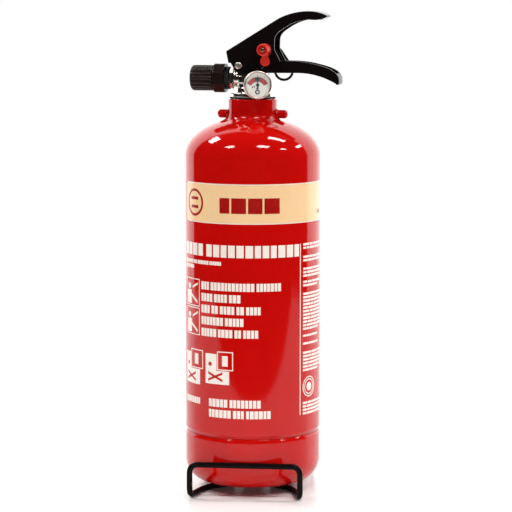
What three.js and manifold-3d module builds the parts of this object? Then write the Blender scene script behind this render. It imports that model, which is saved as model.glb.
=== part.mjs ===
// A two-litre stored-pressure fire extinguisher: drawn steel cylinder, brass squeeze valve with a
// gauge and a short nozzle, folded steel lever and carry handle, safety pin and wire stand.
// Millimetres, +Z up. The origin is on the cylinder's axis at the floor. The handle reaches along +X,
// the nozzle along -X, and the gauge is on the -Y side.
import * as THREE from "three";
import { mergeVertices } from "three/addons/utils/BufferGeometryUtils.js";
import Module from "manifold-3d";

const GAP = 0.3; // clearance between solids that touch on the real thing
const DEG = Math.PI / 180;

// Cylinder
const CYL_R = 55;
const WALL = 1.5;
const CYL_SIDES = 36;
const JOINT_Z = 48; // middle of the groove between shell and base cap
const JOINT_WIDTH = 1.2;
const JOGGLE_DEPTH = 1.8; // how far the base cap's skirt steps in to slide inside the shell
const SKIRT_TOP_Z = 60;
const SHOULDER_Z = 271; // where the straight wall meets the elliptical shoulder
const SHOULDER_RISE = 32;
const KNUCKLE_R = 19; // outside radius between base and wall
const KNUCKLE_Z = 24.2;
const NUB_TOP_R = 11.5; // pressed nub in the middle of the base, with a flat face on the floor
const NUB_FLAT_R = 5.5;

// Neck
const NECK_BORE_R = 15.2;
const NECK_R = 19.8;
const NECK_BOTTOM_Z = 297;
const NECK_TOP_Z = 316.8;
const LUG_R = 3.5; // pegs that hang the cylinder in a bracket
const LUG_END_X = 29;
const LUG_Z = 304.6;
const GASKET_THICK = 1;

// Valve
const THREAD_R = 14.9;
const FLANGE_R = 18;
const FLANGE_Z = NECK_TOP_Z + GASKET_THICK + 2 * GAP;
const FLANGE_THICK = 3.2;
const BODY_R = 12.4;
const BODY_TOP_Z = 335.6;
const HEAD_TOP_Z = 348;
const HEAD_HALF_Y = 6.8;
const HEAD_END_X = 12.6;
const CHAMBER_R = 7.2; // spring chamber, below the seat
const SEAT_Z = 330.5;
const PASSAGE_R = 4.4; // annular passage, above the seat
const PASSAGE_TOP_Z = 336.5;
const GUIDE_R = 3;
const O_RING_Z = 340.3;
const O_RING_HEIGHT = 1.8;
const O_RING_R = 4.9;
const STEM_R = 2.7;
const STEM_HEAD_R = 6.2;
const STEM_HEAD_Z = 324.9;
const STEM_DOME_Z = 360.6;
const SPRING_WIRE_R = 0.6;
const SPRING_MEAN_R = 5;
const SPRING_TURNS = 6;

// Dip tube
const ADAPTER_R = 6.9;
const ADAPTER_TOP_Z = 304.9;
const ADAPTER_STEP_Z = 290;
const ADAPTER_END_Z = 279;
const ADAPTER_BORE_R = 3.2;
const TUBE_R = 6;
const TUBE_BORE_R = 4.9;
const TUBE_END_Z = 14;
const STRAINER_R = 8;

// Nozzle, along -X
const NOZZLE_Z = 333.3;
const OUTLET_R = 7.6;
const OUTLET_END = 14.3; // distances of this group are measured from the cylinder's axis
const NIPPLE_SPIGOT_R = 4.9;
const HEX_R = 8.6;
const HEX_END = 18.2;
const WASHER_R = 9.2;
const WASHER_END = 21.7;
const COLLAR_R = 12.4; // at the corners
const COLLAR_SIDES = 8;
const COLLAR_END = 30.9;
const NOZZLE_R = 10.4;
const NOZZLE_END = 50.7;
const NOZZLE_FLUTES = 18;
const FLUTE_DEPTH = 0.7;
const ORIFICE_R = 1.8;
const BARREL_R = 5.4; // the nipple's long spigot, inside the nozzle
const BARREL_END = 34.4;

// Gauge
const GAUGE_Z = 328.7;
const GAUGE_TURN = 22 * DEG; // from -Y towards +X
const GAUGE_R = 11.4;
const GAUGE_BACK = 19.1; // distances of this group are measured from the cylinder's axis
const GAUGE_FRONT = 28;
const GAUGE_WALL = 0.9;
const DIAL_R = 10.1;
const DIAL_BACK = GAUGE_BACK + 4.8;
const DIAL_THICK = 0.4;
const GAUGE_BOSS_R = 6.2;
const GAUGE_BOSS_END = 13.2;

// Handles, folded from sheet
const SHEET = 2;
const THROUGH_Y = 20; // half length of the cutters that pass through both handles
const BEHIND_X = -30; // cutters for the handles start here, behind their rear ends
const BELOW_Z = 320; // and reach from here
const ABOVE_Z = 400; // to here
const LEVER_HALF_Y = 11.5;
const HANDLE_HALF_Y = 9.2;
const RIVET = { x: -9.1, z: 343.7 };
const RIVET_R = 2.2;
const RIVET_HEAD_R = 3;
const RIVET_HOLE_R = 2.5;
const LOBE = { x: -6.8, z: 343.5, r: 6.9 }; // round lower end of the lever's cheeks
const FIXING_PIN = { x: 9.5, z: 343, r: 1.5 };
const HANDLE_WEB_Z = 337.6;
const HANDLE_TIP_X = 72.4;
const LEVER_TIP_X = 63;
const LEVER_BEND = { x: 21.5, z: 380.2 }; // where the lever's straight back turns into its arm

// Safety pin, ring and seal
const PIN = { x: 13.1, z: 356.5, r: 1.5 };
const PIN_HOLE_R = 1.85;
const LEVER_TRAVEL = 13 * DEG;
const PIN_FRONT_Y = -23.4;
const EYE_Y = 18.5;
const EYE_R = 3.4;
const EYE_HALF_THICK = 1.5;
const RING_WIRE_R = 0.95;
const RING_LENGTH = 27;
const RING_TOP_R = 5.2; // the turn through the pin's eye
const RING_FOOT_R = 7.3;
const RING_LEAN = 26 * DEG;
const SEAL_R = 4.9;
const SEAL_FRONT_Y = -23.9;
const SEAL_BACK_Y = -LEVER_HALF_Y - 0.5;
const TAIL = { z: 347.1, r: 3.8, neck: 2.85, thick: 1.6 };

// Wire stand
const STAND_TURN = 6.5 * DEG;
const WIRE_R = 2.3;
const STAND_HALF_X = 44.3;
const STAND_HALF_Y = CYL_R + WIRE_R + GAP;
const STAND_TOP_Z = 27.3;
const STAND_WAIST_X = 17;

// Label
const LABEL_LOW_Z = 220.8;
const LABEL_HIGH_Z = 251.1;
const LABEL_FROM = -59 * DEG; // from -Y towards +X
const LABEL_TO = 163 * DEG;
const LABEL_THICK = 0.4;

const wasm = await Module();
wasm.setup();

function solidOf(geometry) {
  const bare = geometry.index ? geometry.toNonIndexed() : geometry.clone();
  bare.deleteAttribute("normal");
  bare.deleteAttribute("uv");
  const merged = mergeVertices(bare, 1e-4);
  return new wasm.Manifold(
    new wasm.Mesh({
      numProp: 3,
      vertProperties: new Float32Array(merged.attributes.position.array),
      triVerts: new Uint32Array(merged.index.array),
    }),
  );
}

function geometryOf(solid) {
  const mesh = solid.getMesh();
  const geometry = new THREE.BufferGeometry();
  geometry.setAttribute("position", new THREE.BufferAttribute(mesh.vertProperties, mesh.numProp));
  geometry.setIndex(new THREE.BufferAttribute(mesh.triVerts, 1));
  return geometry;
}

const joined = (...parts) => parts.reduce((a, b) => a.add(b));
const cut = (body, ...tools) => tools.reduce((a, b) => a.subtract(b), body);

// A solid of revolution about Z. The profile is a list of [r, z], on the axis at both ends or closed.
function turned(profile, sides = 24) {
  const onAxis = profile[0][0] === 0;
  const loop = onAxis ? profile : [...profile, profile[0]];
  let area = 0;
  for (let i = 0; i < loop.length; i++) {
    const [r0, z0] = loop[i];
    const [r1, z1] = loop[(i + 1) % loop.length];
    area += r0 * z1 - r1 * z0;
  }
  const ordered = area > 0 ? loop : [...loop].reverse();
  const points = ordered.map(([r, z]) => new THREE.Vector2(r, z));
  return solidOf(new THREE.LatheGeometry(points, sides).rotateX(Math.PI / 2));
}

// A rod between two distances along Z, and the same rod laid along Y or along -X.
function rod(r, from, to, sides = 20) {
  const geometry = new THREE.CylinderGeometry(r, r, to - from, sides);
  geometry.rotateX(Math.PI / 2);
  geometry.translate(0, 0, (from + to) / 2);
  return solidOf(geometry);
}
const alongY = (solid, x, z) => solid.rotate([-90, 0, 0]).translate([x, 0, z]);
const alongMinusX = (solid, z) => solid.rotate([0, -90, 0]).translate([0, 0, z]);

// A round cutter along Y that passes through both handles.
function throughHole(r, at, sides = 16) {
  return alongY(rod(r, -THROUGH_Y, THROUGH_Y, sides), at.x, at.z);
}

// An outline in the X-Z plane, given depth along Y from -half to half.
function plate(shape, half, curveSegments = 7) {
  const settings = { depth: 2 * half, bevelEnabled: false, curveSegments };
  const geometry = new THREE.ExtrudeGeometry(shape, settings);
  return solidOf(geometry.rotateX(Math.PI / 2).translate(0, half, 0));
}

// An outline in the X-Y plane, given height along Z.
function slab(shape, low, high, curveSegments = 7) {
  const settings = { depth: high - low, bevelEnabled: false, curveSegments };
  return solidOf(new THREE.ExtrudeGeometry(shape, settings).translate(0, 0, low));
}

function box(low, high) {
  const size = high.map((value, i) => value - low[i]);
  const middle = high.map((value, i) => (value + low[i]) / 2);
  return solidOf(new THREE.BoxGeometry(...size).translate(...middle));
}

// A round wire along a curve.
function wire(curve, r, sides, steps) {
  const section = new THREE.Shape();
  const corner = r / Math.cos(Math.PI / sides);
  for (let i = 0; i < sides; i++) {
    const angle = ((i + 0.5) * 2 * Math.PI) / sides;
    const point = [corner * Math.cos(angle), corner * Math.sin(angle)];
    if (i === 0) section.moveTo(...point);
    else section.lineTo(...point);
  }
  section.closePath();
  return solidOf(new THREE.ExtrudeGeometry(section, { steps, extrudePath: curve }));
}

// Straight stretches between the points, with each inner corner rounded over its own length.
function roundedPath(corners) {
  const path = new THREE.CurvePath();
  const at = corners.map(([x, y, z]) => new THREE.Vector3(x, y, z));
  let from = at[0];
  for (let i = 1; i < at.length - 1; i++) {
    const round = corners[i][3];
    const before = at[i].clone().add(at[i - 1].clone().sub(at[i]).setLength(round));
    const after = at[i].clone().add(at[i + 1].clone().sub(at[i]).setLength(round));
    path.add(new THREE.LineCurve3(from, before));
    path.add(new THREE.QuadraticBezierCurve3(before, at[i], after));
    from = after;
  }
  path.add(new THREE.LineCurve3(from, at[at.length - 1]));
  return path;
}

function arcPoints(centreR, centreZ, a, b, fromDeg, toDeg, steps) {
  return Array.from({ length: steps + 1 }, (_, i) => {
    const angle = (fromDeg + ((toDeg - fromDeg) * i) / steps) * DEG;
    return [centreR + a * Math.cos(angle), centreZ + b * Math.sin(angle)];
  });
}

// The quarter ellipse of the shoulder, from the wall in to the neck's opening.
function shoulder(inset, opening, steps) {
  const a = CYL_R - inset;
  const end = Math.acos(opening / a) / DEG;
  return arcPoints(0, SHOULDER_Z, a, SHOULDER_RISE - inset, 0, end, steps);
}

function cylinderShell() {
  const opening = NECK_R + GAP;
  const low = JOINT_Z + JOINT_WIDTH / 2;
  const outside = [[CYL_R, low], ...shoulder(0, opening, 7)];
  const inside = [[CYL_R - WALL, low], ...shoulder(WALL, opening, 7)];
  return turned([...outside, ...inside.reverse()], CYL_SIDES);
}

function baseCap() {
  const top = JOINT_Z - JOINT_WIDTH / 2;
  const crown = KNUCKLE_Z - KNUCKLE_R;
  const centre = CYL_R - KNUCKLE_R;
  const skirt = CYL_R - JOGGLE_DEPTH;
  const outside = [
    [0, 0],
    [NUB_FLAT_R, 0],
    [NUB_TOP_R - 2.8, 1.8],
    [NUB_TOP_R, crown],
    ...arcPoints(centre, KNUCKLE_Z, KNUCKLE_R, KNUCKLE_R, -90, 0, 6),
    [CYL_R, top],
    [skirt, top],
    [skirt, SKIRT_TOP_Z],
  ];
  const inside = [
    [skirt - WALL, SKIRT_TOP_Z],
    [skirt - WALL, top - WALL],
    [CYL_R - WALL, top - WALL - JOGGLE_DEPTH],
    ...arcPoints(centre, KNUCKLE_Z, KNUCKLE_R - WALL, KNUCKLE_R - WALL, 0, -90, 4),
    [NUB_TOP_R - 0.6, crown + WALL],
    [NUB_TOP_R - 3.6, 1.8 + WALL],
    [NUB_FLAT_R - 0.5, WALL],
    [0, WALL],
  ];
  return turned([...outside, ...inside], CYL_SIDES);
}

function ring(bore, r, low, high, sides = 24) {
  const profile = [
    [bore, low],
    [r, low],
    [r, high],
    [bore, high],
  ];
  return turned(profile, sides);
}

// A peg with a domed end and a small flat on its tip, laid along +X.
function hangingLug() {
  const start = NECK_R + GAP;
  const dome = arcPoints(0, LUG_END_X - 2, LUG_R, 2, 0, 60, 3);
  const profile = [[0, start], [LUG_R, start], ...dome, [LUG_R * 0.5, LUG_END_X], [0, LUG_END_X]];
  return turned(profile, 16);
}

function valveBody() {
  const turnedPart = turned([
    [0, NECK_BOTTOM_Z + GAP],
    [THREAD_R, NECK_BOTTOM_Z + GAP],
    [THREAD_R, FLANGE_Z],
    [FLANGE_R, FLANGE_Z],
    [FLANGE_R, FLANGE_Z + FLANGE_THICK],
    [BODY_R, FLANGE_Z + FLANGE_THICK + 1],
    [BODY_R, BODY_TOP_Z - 1],
    [BODY_R - 1, BODY_TOP_Z],
    [0, BODY_TOP_Z],
  ]);
  const side = new THREE.Shape();
  const roundR = 4.2;
  side.moveTo(HEAD_END_X, BODY_TOP_Z - 1);
  side.lineTo(HEAD_END_X, HEAD_TOP_Z - 2);
  side.lineTo(HEAD_END_X - 2, HEAD_TOP_Z);
  side.lineTo(RIVET.x, HEAD_TOP_Z);
  side.absarc(RIVET.x, RIVET.z, roundR, Math.PI / 2, 1.4 * Math.PI, false);
  side.lineTo(RIVET.x + 2, BODY_TOP_Z - 1);
  side.closePath();
  const head = plate(side, HEAD_HALF_Y, 8);
  const outlet = alongMinusX(rod(OUTLET_R, 6, OUTLET_END), NOZZLE_Z);
  const gaugeBoss = alongY(rod(GAUGE_BOSS_R, -GAUGE_BOSS_END, -6), 0, GAUGE_Z);
  const gaugePort = joined(
    alongY(rod(1.2, -GAUGE_BOSS_END - 1, -5, 12), 0, GAUGE_Z),
    alongY(rod(3.2, -GAUGE_BOSS_END - 1, -9, 16), 0, GAUGE_Z),
  );
  const turn = [0, 0, GAUGE_TURN / DEG];
  const body = joined(turnedPart, head, outlet, gaugeBoss.rotate(turn));
  const stemBore = turned([
    [0, NECK_BOTTOM_Z - 1],
    [CHAMBER_R, NECK_BOTTOM_Z - 1],
    [CHAMBER_R, SEAT_Z],
    [PASSAGE_R, SEAT_Z],
    [PASSAGE_R, PASSAGE_TOP_Z],
    [GUIDE_R, PASSAGE_TOP_Z],
    [GUIDE_R, O_RING_Z - GAP],
    [O_RING_R + GAP, O_RING_Z - GAP],
    [O_RING_R + GAP, O_RING_Z + O_RING_HEIGHT + GAP],
    [GUIDE_R, O_RING_Z + O_RING_HEIGHT + GAP],
    [GUIDE_R, HEAD_TOP_Z + 1],
    [0, HEAD_TOP_Z + 1],
  ]);
  const outletBore = alongMinusX(rod(2, 0, OUTLET_END + 1, 12), NOZZLE_Z);
  const spigotBore = alongMinusX(rod(NIPPLE_SPIGOT_R + GAP, 10.5, OUTLET_END + 1), NOZZLE_Z);
  const rivetHole = throughHole(RIVET_HOLE_R, RIVET);
  const fixingHole = throughHole(FIXING_PIN.r + GAP, FIXING_PIN, 12);
  const bores = [stemBore, outletBore, spigotBore, gaugePort.rotate(turn), rivetHole, fixingHole];
  return cut(body, ...bores);
}

function valveStem() {
  return turned([
    [0, STEM_HEAD_Z],
    [STEM_HEAD_R, STEM_HEAD_Z],
    [STEM_HEAD_R, STEM_HEAD_Z + 2],
    [STEM_R, STEM_HEAD_Z + 2],
    ...arcPoints(0, STEM_DOME_Z, STEM_R, STEM_R, 0, 75, 4),
    [0, STEM_DOME_Z + STEM_R],
  ], 16);
}

class Helix extends THREE.Curve {
  constructor(r, low, high, turns) {
    super();
    Object.assign(this, { r, low, high, turns });
  }
  getPoint(t, target = new THREE.Vector3()) {
    const angle = 2 * Math.PI * this.turns * t;
    const z = this.low + (this.high - this.low) * t;
    return target.set(this.r * Math.cos(angle), this.r * Math.sin(angle), z);
  }
}

function valveSpring() {
  const low = ADAPTER_TOP_Z + GAP + SPRING_WIRE_R;
  const high = STEM_HEAD_Z - GAP - SPRING_WIRE_R;
  const helix = new Helix(SPRING_MEAN_R, low, high, SPRING_TURNS);
  return wire(helix, SPRING_WIRE_R, 6, 10 * SPRING_TURNS);
}

function siphonAdapter() {
  return turned([
    [ADAPTER_BORE_R, ADAPTER_END_Z],
    [TUBE_BORE_R - GAP, ADAPTER_END_Z],
    [TUBE_BORE_R - GAP, ADAPTER_STEP_Z],
    [ADAPTER_R, ADAPTER_STEP_Z],
    [ADAPTER_R, ADAPTER_TOP_Z],
    [ADAPTER_BORE_R, ADAPTER_TOP_Z],
  ], 24);
}

// A slotted cup round the dip tube's lower end.
function strainer() {
  const high = TUBE_END_Z + 12;
  const low = TUBE_END_Z - 3;
  const cup = turned([
    [0, low],
    [STRAINER_R, low],
    [STRAINER_R, high],
    [TUBE_R + GAP, high],
    [TUBE_R + GAP, low + 1.5],
    [0, low + 1.5],
  ], 24);
  const slots = [0, 60, 120].map((angle) => {
    const slot = box([-STRAINER_R - 1, -1.2, low + 2], [STRAINER_R + 1, 1.2, high - 3]);
    return slot.rotate([0, 0, angle]);
  });
  return cut(cup, ...slots);
}

// The nozzle's pieces are turned about Z from the valve outwards, then laid along -X.
function outletNipple() {
  const round = turned([
    [0, 10.8],
    [NIPPLE_SPIGOT_R, 10.8],
    [NIPPLE_SPIGOT_R, OUTLET_END + GAP],
    [BARREL_R, OUTLET_END + GAP],
    [BARREL_R, BARREL_END],
    [0, BARREL_END],
  ], 24);
  const hex = rod(HEX_R, OUTLET_END + GAP, HEX_END, 6);
  return cut(joined(round, hex), rod(2.4, 10, BARREL_END + 1, 12));
}

function nozzleCollar() {
  const flatsUp = [0, 0, 180 / COLLAR_SIDES];
  const facets = rod(COLLAR_R, WASHER_END + GAP, COLLAR_END, COLLAR_SIDES).rotate(flatsUp);
  return cut(facets, rod(BARREL_R + GAP, WASHER_END, COLLAR_END + 1));
}

function nozzleBody() {
  const start = COLLAR_END + GAP;
  const section = new THREE.Shape();
  for (let i = 0; i < 2 * NOZZLE_FLUTES; i++) {
    const angle = (i * Math.PI) / NOZZLE_FLUTES;
    const r = NOZZLE_R - (i % 2) * FLUTE_DEPTH;
    const point = [r * Math.cos(angle), r * Math.sin(angle)];
    if (i === 0) section.moveTo(...point);
    else section.lineTo(...point);
  }
  section.closePath();
  const envelope = turned([
    [0, start],
    [NOZZLE_R, start],
    [NOZZLE_R, NOZZLE_END - 3],
    [NOZZLE_R - 1, NOZZLE_END - 1],
    [NOZZLE_R - 3.4, NOZZLE_END],
    [0, NOZZLE_END],
  ]);
  const bore = turned([
    [0, start - 1],
    [BARREL_R + GAP, start - 1],
    [BARREL_R + GAP, NOZZLE_END - 5],
    [ORIFICE_R, NOZZLE_END - 3],
    [ORIFICE_R, NOZZLE_END + 1],
    [0, NOZZLE_END + 1],
  ], 24);
  return cut(slab(section, start, NOZZLE_END).intersect(envelope), bore);
}

// The gauge's pieces are turned about Z, then laid along -Y, so that z is the distance from the axis.
function gaugeStem() {
  const round = turned([
    [0, 9.4],
    [2.9, 9.4],
    [2.9, GAUGE_BOSS_END + GAP],
    [2.2, GAUGE_BOSS_END + GAP],
    [2.2, GAUGE_BACK + 2.4],
    [0, GAUGE_BACK + 2.4],
  ], 16);
  const hex = rod(6.6, GAUGE_BOSS_END + GAP, GAUGE_BACK - GAP, 6);
  return cut(joined(round, hex), rod(0.9, 9, GAUGE_BACK + 3, 8));
}

function gaugeCase() {
  const inner = GAUGE_R - GAUGE_WALL;
  return turned([
    [2.5, GAUGE_BACK],
    [GAUGE_R - 0.6, GAUGE_BACK],
    [GAUGE_R, GAUGE_BACK + 0.8],
    [GAUGE_R, GAUGE_FRONT - 0.6],
    [GAUGE_R - 0.6, GAUGE_FRONT],
    [inner - 0.9, GAUGE_FRONT],
    [inner - 0.9, GAUGE_FRONT - 0.7],
    [inner, GAUGE_FRONT - 0.7],
    [inner, GAUGE_BACK + 1],
    [2.5, GAUGE_BACK + 1],
  ], 28);
}

function gaugeBourdon() {
  const y = GAUGE_BACK + 2.8;
  const arc = new THREE.CatmullRomCurve3(
    Array.from({ length: 15 }, (_, i) => {
      const angle = (-60 + 20 * i) * DEG;
      return new THREE.Vector3(6.4 * Math.cos(angle), 6.4 * Math.sin(angle), y);
    }),
  );
  return wire(arc, 0.9, 6, 18);
}

function gaugeNeedle() {
  const at = GAUGE_BACK + 6;
  const pointer = new THREE.Shape();
  pointer.moveTo(-2.6, -0.5);
  pointer.lineTo(7.6, -0.2);
  pointer.lineTo(7.6, 0.2);
  pointer.lineTo(-2.6, 0.5);
  pointer.closePath();
  const blade = slab(pointer, at, at + 0.4);
  return joined(rod(0.7, GAUGE_BACK + 4, at + 0.2, 10), rod(1.3, at - 0.1, at + 0.8, 16), blade);
}

// The lever's outline: cheeks down to the rivet, and a curved arm out to the tip.
function leverOutline() {
  const s = new THREE.Shape();
  s.moveTo(-19.4, 355.2);
  s.lineTo(LEVER_BEND.x, LEVER_BEND.z);
  s.bezierCurveTo(33, 387.2, 52, 389.8, 61.6, 384);
  s.quadraticCurveTo(63.4, 382.9, 61.9, 382.4);
  s.quadraticCurveTo(57.5, 379.6, 50, 380.3);
  s.bezierCurveTo(42, 381.2, 34, 378, 24.6, 371.2);
  s.quadraticCurveTo(20.6, 368.2, 20.4, 364.4);
  s.lineTo(20.2, 358.2);
  s.quadraticCurveTo(20.2, 356.6, 21, 355.2);
  s.lineTo(25, 347.4);
  s.lineTo(LOBE.x + LOBE.r * Math.cos(-60 * DEG), LOBE.z + LOBE.r * Math.sin(-60 * DEG));
  s.absarc(LOBE.x, LOBE.z, LOBE.r, -60 * DEG, -170 * DEG, true);
  s.lineTo(-15.6, 345.7);
  s.lineTo(-17.5, 345.7);
  s.closePath();
  return s;
}

// What is cut out between the lever's cheeks: everything below its web.
function leverInside() {
  const s = new THREE.Shape();
  const drop = SHEET / Math.cos(30.5 * DEG);
  s.moveTo(-23.3, 352.9 - drop);
  s.lineTo(LEVER_BEND.x, LEVER_BEND.z - drop);
  s.bezierCurveTo(33, 387 - SHEET, 49, 389 - SHEET, 57.5, 385.7 - SHEET);
  s.lineTo(57.5, BELOW_Z);
  s.lineTo(-23.3, BELOW_Z);
  s.closePath();
  return s;
}

// The plan of a handle: straight sides, with a round end of the same width.
function gripPlan(from, to, half, round) {
  const s = new THREE.Shape();
  s.moveTo(from, -half);
  s.lineTo(to - round, -half);
  s.quadraticCurveTo(to, -half, to, -half + round);
  s.lineTo(to, half - round);
  s.quadraticCurveTo(to, half, to - round, half);
  s.lineTo(from, half);
  s.closePath();
  return s;
}

// The hole in the lever is a slot along the pin's path as the lever turns about the rivet, so that
// lever and pin can each be moved on their own.
function pinSlot() {
  const steps = 4;
  const rods = Array.from({ length: steps + 1 }, (_, i) => {
    const angle = (-LEVER_TRAVEL * i) / steps;
    const dx = PIN.x - RIVET.x;
    const dz = PIN.z - RIVET.z;
    const x = RIVET.x + dx * Math.cos(angle) + dz * Math.sin(angle);
    const z = RIVET.z - dx * Math.sin(angle) + dz * Math.cos(angle);
    return throughHole(PIN_HOLE_R, { x, z });
  });
  return joined(...rods);
}

function squeezeLever() {
  const whole = plate(leverOutline(), LEVER_HALF_Y);
  const inside = plate(leverInside(), LEVER_HALF_Y - SHEET);
  const plan = slab(gripPlan(BEHIND_X, LEVER_TIP_X, LEVER_HALF_Y, 8), BELOW_Z, ABOVE_Z, 6);
  const rivetHole = throughHole(RIVET_HOLE_R, RIVET);
  return cut(whole.intersect(plan), inside, rivetHole, pinSlot());
}

function handleOutline() {
  const s = new THREE.Shape();
  s.moveTo(RIVET.x, HANDLE_WEB_Z + 0.6);
  s.lineTo(RIVET.x + 1.5, HANDLE_WEB_Z);
  s.lineTo(38, HANDLE_WEB_Z + 0.3);
  s.bezierCurveTo(50, 338, 61, 334.8, 70.8, 328.9);
  s.quadraticCurveTo(72, 328.2, 72.3, 330.4);
  s.lineTo(72.3, 332);
  s.bezierCurveTo(72.3, 339.4, 63.5, 342.8, 52, 345.2);
  s.bezierCurveTo(46, 346.9, 38, 347.5, 29, 347.5);
  s.lineTo(23.4, 347.6);
  s.lineTo(18.6, 356);
  s.absarc(PIN.x, PIN.z, 4.6, 0, 0.65 * Math.PI, false);
  s.lineTo(RIVET.x - 2.5, 347.9);
  s.absarc(RIVET.x, RIVET.z, 4.4, 0.65 * Math.PI, 1.4 * Math.PI, false);
  s.closePath();
  return s;
}

// What is cut out between the handle's cheeks: everything above its web.
function handleInside() {
  const s = new THREE.Shape();
  s.moveTo(BEHIND_X, HANDLE_WEB_Z + SHEET);
  s.lineTo(38, HANDLE_WEB_Z + 0.3 + SHEET);
  s.bezierCurveTo(50, 338 + SHEET, 61, 334.8 + SHEET, 69, 330.2 + SHEET);
  s.lineTo(HANDLE_TIP_X - SHEET, 332.2);
  s.lineTo(HANDLE_TIP_X - SHEET, ABOVE_Z);
  s.lineTo(BEHIND_X, ABOVE_Z);
  s.closePath();
  return s;
}

function carryHandle() {
  const half = HANDLE_HALF_Y;
  const whole = plate(handleOutline(), half);
  const inside = plate(handleInside(), half - SHEET);
  const plan = slab(gripPlan(BEHIND_X, HANDLE_TIP_X, half, 3), BELOW_Z, ABOVE_Z, 6);
  const room = { x: HEAD_END_X + GAP, z: 345 }; // for the valve's head
  const headRoom = box([BEHIND_X, -half + SHEET, BELOW_Z], [room.x, half - SHEET, room.z]);
  const holes = [
    throughHole(RIVET_HOLE_R, RIVET),
    throughHole(FIXING_PIN.r + GAP, FIXING_PIN, 12),
    throughHole(PIN_HOLE_R, PIN),
  ];
  return cut(whole.intersect(plan), inside, headRoom, ...holes);
}

function pivotRivet() {
  const face = LEVER_HALF_Y + GAP;
  const head = [
    [RIVET_HEAD_R, face],
    [RIVET_HEAD_R - 0.3, face + 0.9],
    [RIVET_HEAD_R - 1.4, face + 1.4],
  ];
  const mirrored = head.map(([r, z]) => [r, -z]).reverse();
  const profile = [
    [0, -face - 1.4],
    ...mirrored,
    [RIVET_R, -face],
    [RIVET_R, face],
    ...head,
    [0, face + 1.4],
  ];
  return turned(profile, 20);
}

// Safety pin: shaft, stop collar, and a flattened eye for the ring. The eye leans with the ring.
function safetyPin() {
  const stopY = LEVER_HALF_Y + 0.5;
  const shaft = turned([
    [0, PIN_FRONT_Y],
    [PIN.r - 0.4, PIN_FRONT_Y],
    [PIN.r, PIN_FRONT_Y + 0.5],
    [PIN.r, stopY],
    [3.2, stopY],
    [3.2, stopY + 1.4],
    [PIN.r, stopY + 1.4],
    [PIN.r, EYE_Y - 1.8],
    [0, EYE_Y - 1.8],
  ], 16);
  const lean = [0, 90 - RING_LEAN / DEG, 0];
  const eye = rod(EYE_R, -EYE_HALF_THICK, EYE_HALF_THICK, 16).rotate(lean).translate([0, EYE_Y, 0]);
  const hole = rod(RING_WIRE_R + 0.45, -4, 4, 12).rotate(lean).translate([0, EYE_Y, 0]);
  const laid = shaft.rotate([-90, 0, 0]);
  return cut(joined(laid, eye), hole).translate([PIN.x, 0, PIN.z]);
}

// A drop-shaped loop of bent wire: a small turn through the pin's eye, straight strands and a wider
// foot. It hangs from the eye and leans towards +X. Its ends butt in the eye.
function pullRing() {
  const topZ = -RING_TOP_R;
  const footZ = RING_FOOT_R - RING_LENGTH;
  const slope = Math.asin((RING_FOOT_R - RING_TOP_R) / (topZ - footZ)) / DEG;
  const open = GAP / 2 / RING_TOP_R / DEG;
  const line = [
    ...arcPoints(0, topZ, RING_TOP_R, RING_TOP_R, 90 - open, slope, 5),
    ...arcPoints(0, footZ, RING_FOOT_R, RING_FOOT_R, slope, -180 - slope, 14),
    ...arcPoints(0, topZ, RING_TOP_R, RING_TOP_R, 180 - slope, 90 + open, 5),
  ].map(([x, z]) => new THREE.Vector3(x, 0, z));
  const hanging = wire(new THREE.CatmullRomCurve3(line), RING_WIRE_R, 6, 44);
  return hanging.rotate([0, -RING_LEAN / DEG, 0]).translate([PIN.x, EYE_Y, PIN.z]);
}

// Tamper seal: a red boss over the pin's front end, with a break-off tail below it.
function tamperSeal() {
  const boss = alongY(
    turned([
      [PIN_HOLE_R, SEAL_BACK_Y],
      [SEAL_R, SEAL_BACK_Y],
      [SEAL_R, SEAL_FRONT_Y + 0.5],
      [SEAL_R - 0.5, SEAL_FRONT_Y],
      [SEAL_R - 1.3, SEAL_FRONT_Y],
      [SEAL_R - 1.3, SEAL_FRONT_Y + 3],
      [PIN_HOLE_R, SEAL_FRONT_Y + 3],
    ], 24),
    PIN.x,
    PIN.z,
  );
  const tail = new THREE.Shape();
  const joinZ = PIN.z - SEAL_R + 1;
  tail.moveTo(PIN.x - TAIL.neck, joinZ);
  tail.lineTo(PIN.x - TAIL.neck, TAIL.z + 2.5);
  tail.absarc(PIN.x, TAIL.z, TAIL.r, 0.77 * Math.PI, 2.23 * Math.PI, false);
  tail.lineTo(PIN.x + TAIL.neck, joinZ);
  tail.closePath();
  const tab = plate(tail, TAIL.thick / 2, 10).translate([0, SEAL_BACK_Y - TAIL.thick / 2, 0]);
  return joined(boss, tab);
}

// One closed wire: a loop against the front of the cylinder, one against the back, and two waisted
// runs on the floor between them. Its ends butt in the middle of the rear bar.
function wireStand() {
  const x = STAND_HALF_X;
  const y = STAND_HALF_Y;
  const z = STAND_TOP_Z;
  const waist = STAND_WAIST_X;
  const floor = WIRE_R;
  const quarter = [
    [GAP / 2, y, z],
    [x, y, z, 7],
    [x, y, floor, 6.5],
    [35.5, 24, floor, 12],
    [waist, 10, floor, 8],
  ];
  const frontRight = quarter.slice(1).map(([px, py, pz, round]) => [px, -py, pz, round]).reverse();
  const right = [...quarter, ...frontRight];
  const left = right.map(([px, py, pz, round]) => [-px, py, pz, round]).reverse();
  const bent = wire(roundedPath([...right, ...left]), WIRE_R, 8, 124);
  return cut(bent, box([-80, -80, -5], [80, 80, 0])); // worn flat where it stands
}

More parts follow.
